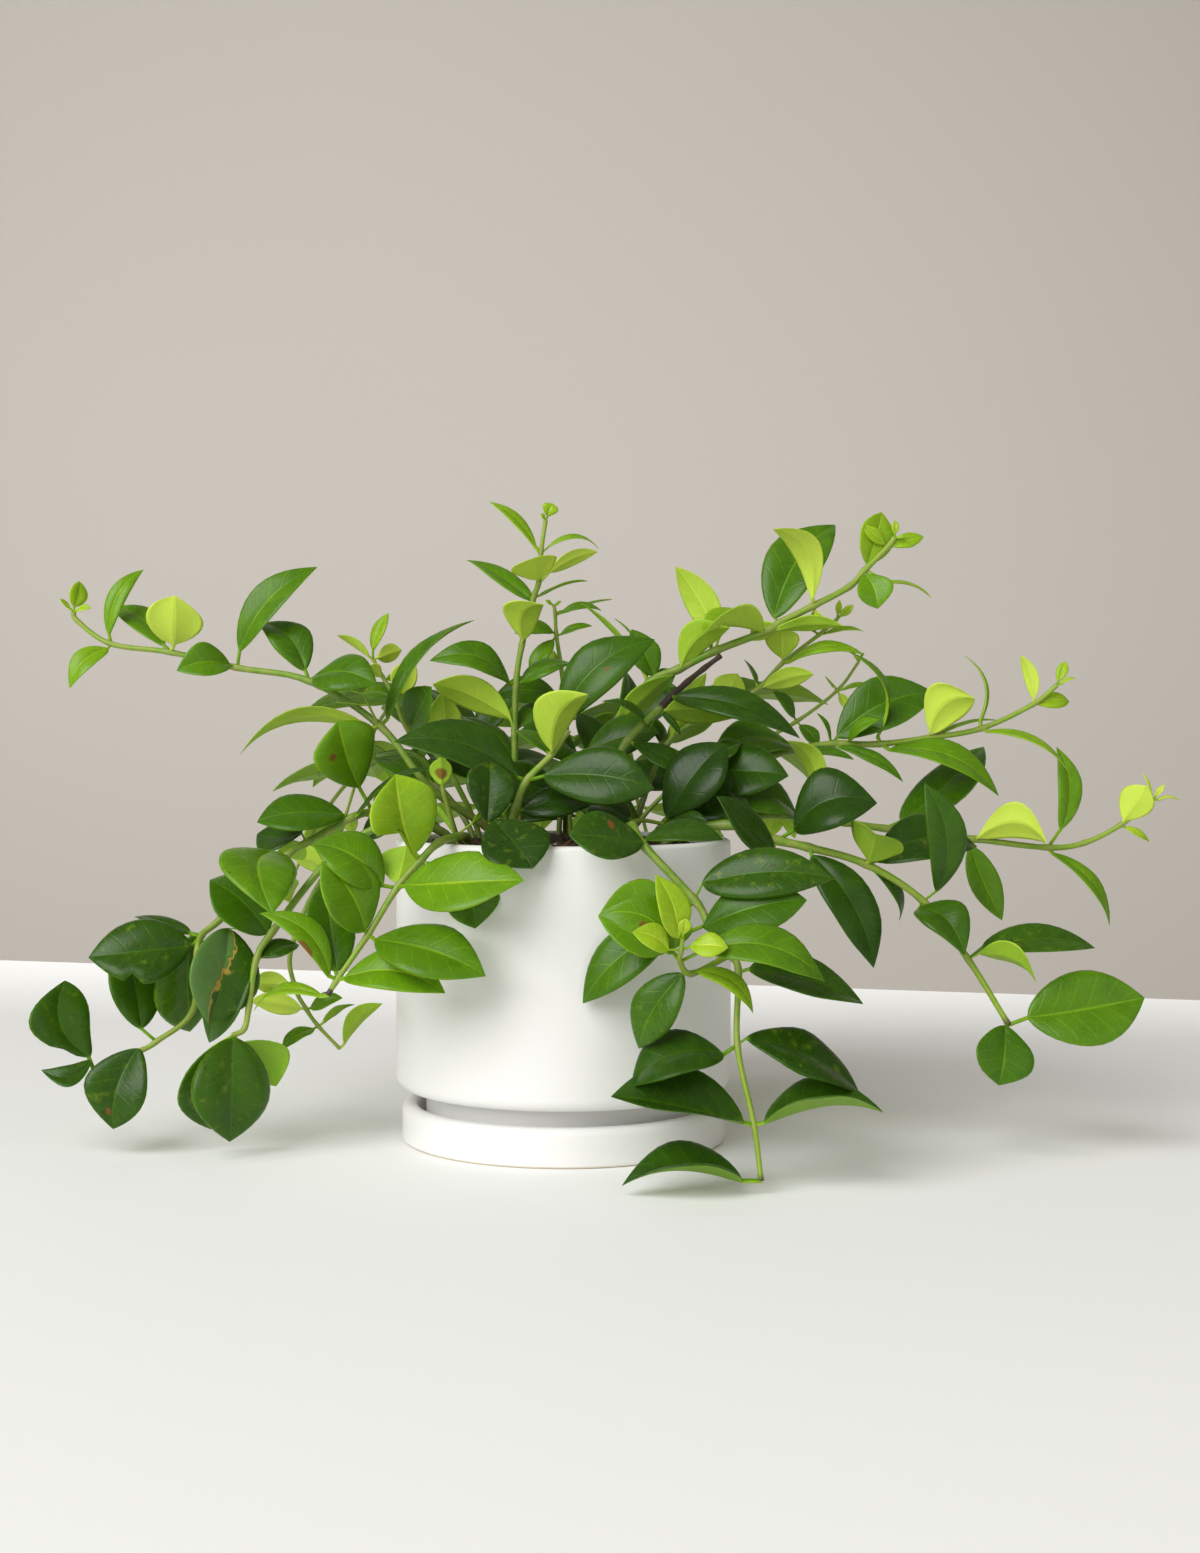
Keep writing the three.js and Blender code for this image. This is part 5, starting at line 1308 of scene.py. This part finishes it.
def stem_skin():
    """Smooth green stems that turn brown and barky towards the root, with scars at the joints."""
    finish, tree, shader = new_finish("stem_skin")
    age, joint_near, dead = (carried(tree, label) for label in ("age", "joint_near", "dead"))
    place = object_place(tree)
    streaks = grain(tree, place, 260, 4, 0.6)
    fine = grain(tree, place, 1300, 2)
    green = graded(tree, 0.7 - age * 0.22 + streaks * 0.24 - 0.12, LEAF_GREENS)
    tanned = blended(tree, streaks.between(0.35, 0.7) * 0.5, green, TANNED)
    old = age.between(0.72, 0.98)
    worn = blended(tree, old * 0.75 + streaks * 0.2 - 0.05, tanned, OLD_STEM)
    ringed = blended(tree, joint_near * 0.35, worn, JOINT_RING)
    dry = blended(tree, streaks, *DRY_WOOD)
    feed(tree, shader, {
        "Base Color": blended(tree, dead, ringed, dry),
        "Roughness": streaks * 0.15 + 0.38,
        "Normal": relief(tree, streaks + fine * 0.4, 0.0005, 0.5),
    })
    return finish


shoots = [seen_shoot(*row) for row in SHOOTS] + [rear_shoot(number) for number in range(REAR_SHOOTS)]
blank = blank_leaf()
growth = shoot_tree()
growth_settings = {
    "Blank leaf": blank,
    "Stem sides": STEM_RINGS_ROUND,
    "Stem finish": stem_skin(),
    "Leaf finish": waxy_leaf(),
}
for node in dict.fromkeys(shoot["name"] for shoot in shoots):
    plan = shoot_plan(node, [shoot for shoot in shoots if shoot["name"] == node])
    leafy = grown(node.replace("stem", "shoot"), plan, growth, growth_settings)
    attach(leafy, "root")
    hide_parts(node)
bpy.data.objects.remove(blank)


# The studio: a pale floor with a slanting far edge, a warm grey wall far behind it, painted
# darker towards the top as painted shade, one large soft light from the upper left, a faint one
# from the right, and one that washes the wall.
# All sizes are in metres.
WALL_DISTANCE = 3.2
FLOOR_CORNERS = ((-4, -3, 0), (4, -3, 0), (4, -0.57, 0), (-4, 1.68, 0))
WALL_CORNERS = tuple((x, WALL_DISTANCE, z) for x, z in ((-9, -3), (9, -3), (9, 6), (-9, 6)))
FLOOR_ALBEDO = (0.89, 0.9, 0.89)
WALL_ALBEDO = (0.595, 0.56, 0.51)
WALL_PAINTED_SHADE_UP = 0.85  # painted shade: the wall's colour is darker further up, where its light stands close
PLANT_MIDDLE = (0, 0, 0.12)
AIR_COLOUR = (0.93, 0.86, 0.78)
AIR_LIGHT = 0.3


def matt_paint(name, albedo, painted_shade_up):
    finish, tree, shader = new_finish(name)
    place = object_place(tree)
    # painted shade: the colour darkens with height by painted_shade_up; the faint grain is a random tone
    share = grain(tree, place, 1.3, 2) * 0.06 + parts(tree, place)[2].between(-0.2, 2.2) * painted_shade_up
    feed(tree, shader, {
        "Base Color": blended(tree, share, albedo, tuple(0.6 * c for c in albedo)),
        "Roughness": 0.7,
        "Specular IOR Level": 0.2,
    })
    return finish


for name, corners, paint in (
    ("studio_floor", FLOOR_CORNERS, matt_paint("pale_floor", FLOOR_ALBEDO, 0)),
    ("studio_wall", WALL_CORNERS, matt_paint("grey_wall", WALL_ALBEDO, WALL_PAINTED_SHADE_UP)),
):
    mesh = bpy.data.meshes.new(name)
    mesh.from_pydata(corners, [], [(0, 1, 2, 3)])
    mesh.materials.append(paint)
    new_object(name, mesh)

for name, place, aim, size, power in (
    ("key_light", (-1.9, -2.4, 2.2), PLANT_MIDDLE, 3.0, 168),
    ("fill_light", (1.2, -1.6, 0.9), PLANT_MIDDLE, 1.6, 5),
    ("wall_light", (-0.1, 1.2, 2.2), (0.2, WALL_DISTANCE, 1.4), 4.0, 56),
):
    lamp = new_object(name, bpy.data.lights.new(name, "AREA"))
    lamp.data.size = size
    lamp.data.energy = power
    lamp.location = place
    lamp.rotation_euler = (Vector(aim) - Vector(place)).to_track_quat("-Z", "Y").to_euler()

world = bpy.data.worlds.new("studio_air")
world.use_nodes = True
air = {"Color": coloured(AIR_COLOUR), "Strength": AIR_LIGHT}
feed(world.node_tree, world.node_tree.nodes["Background"], air)
bpy.context.scene.world = world
bpy.context.scene.view_settings.view_transform = "Standard"
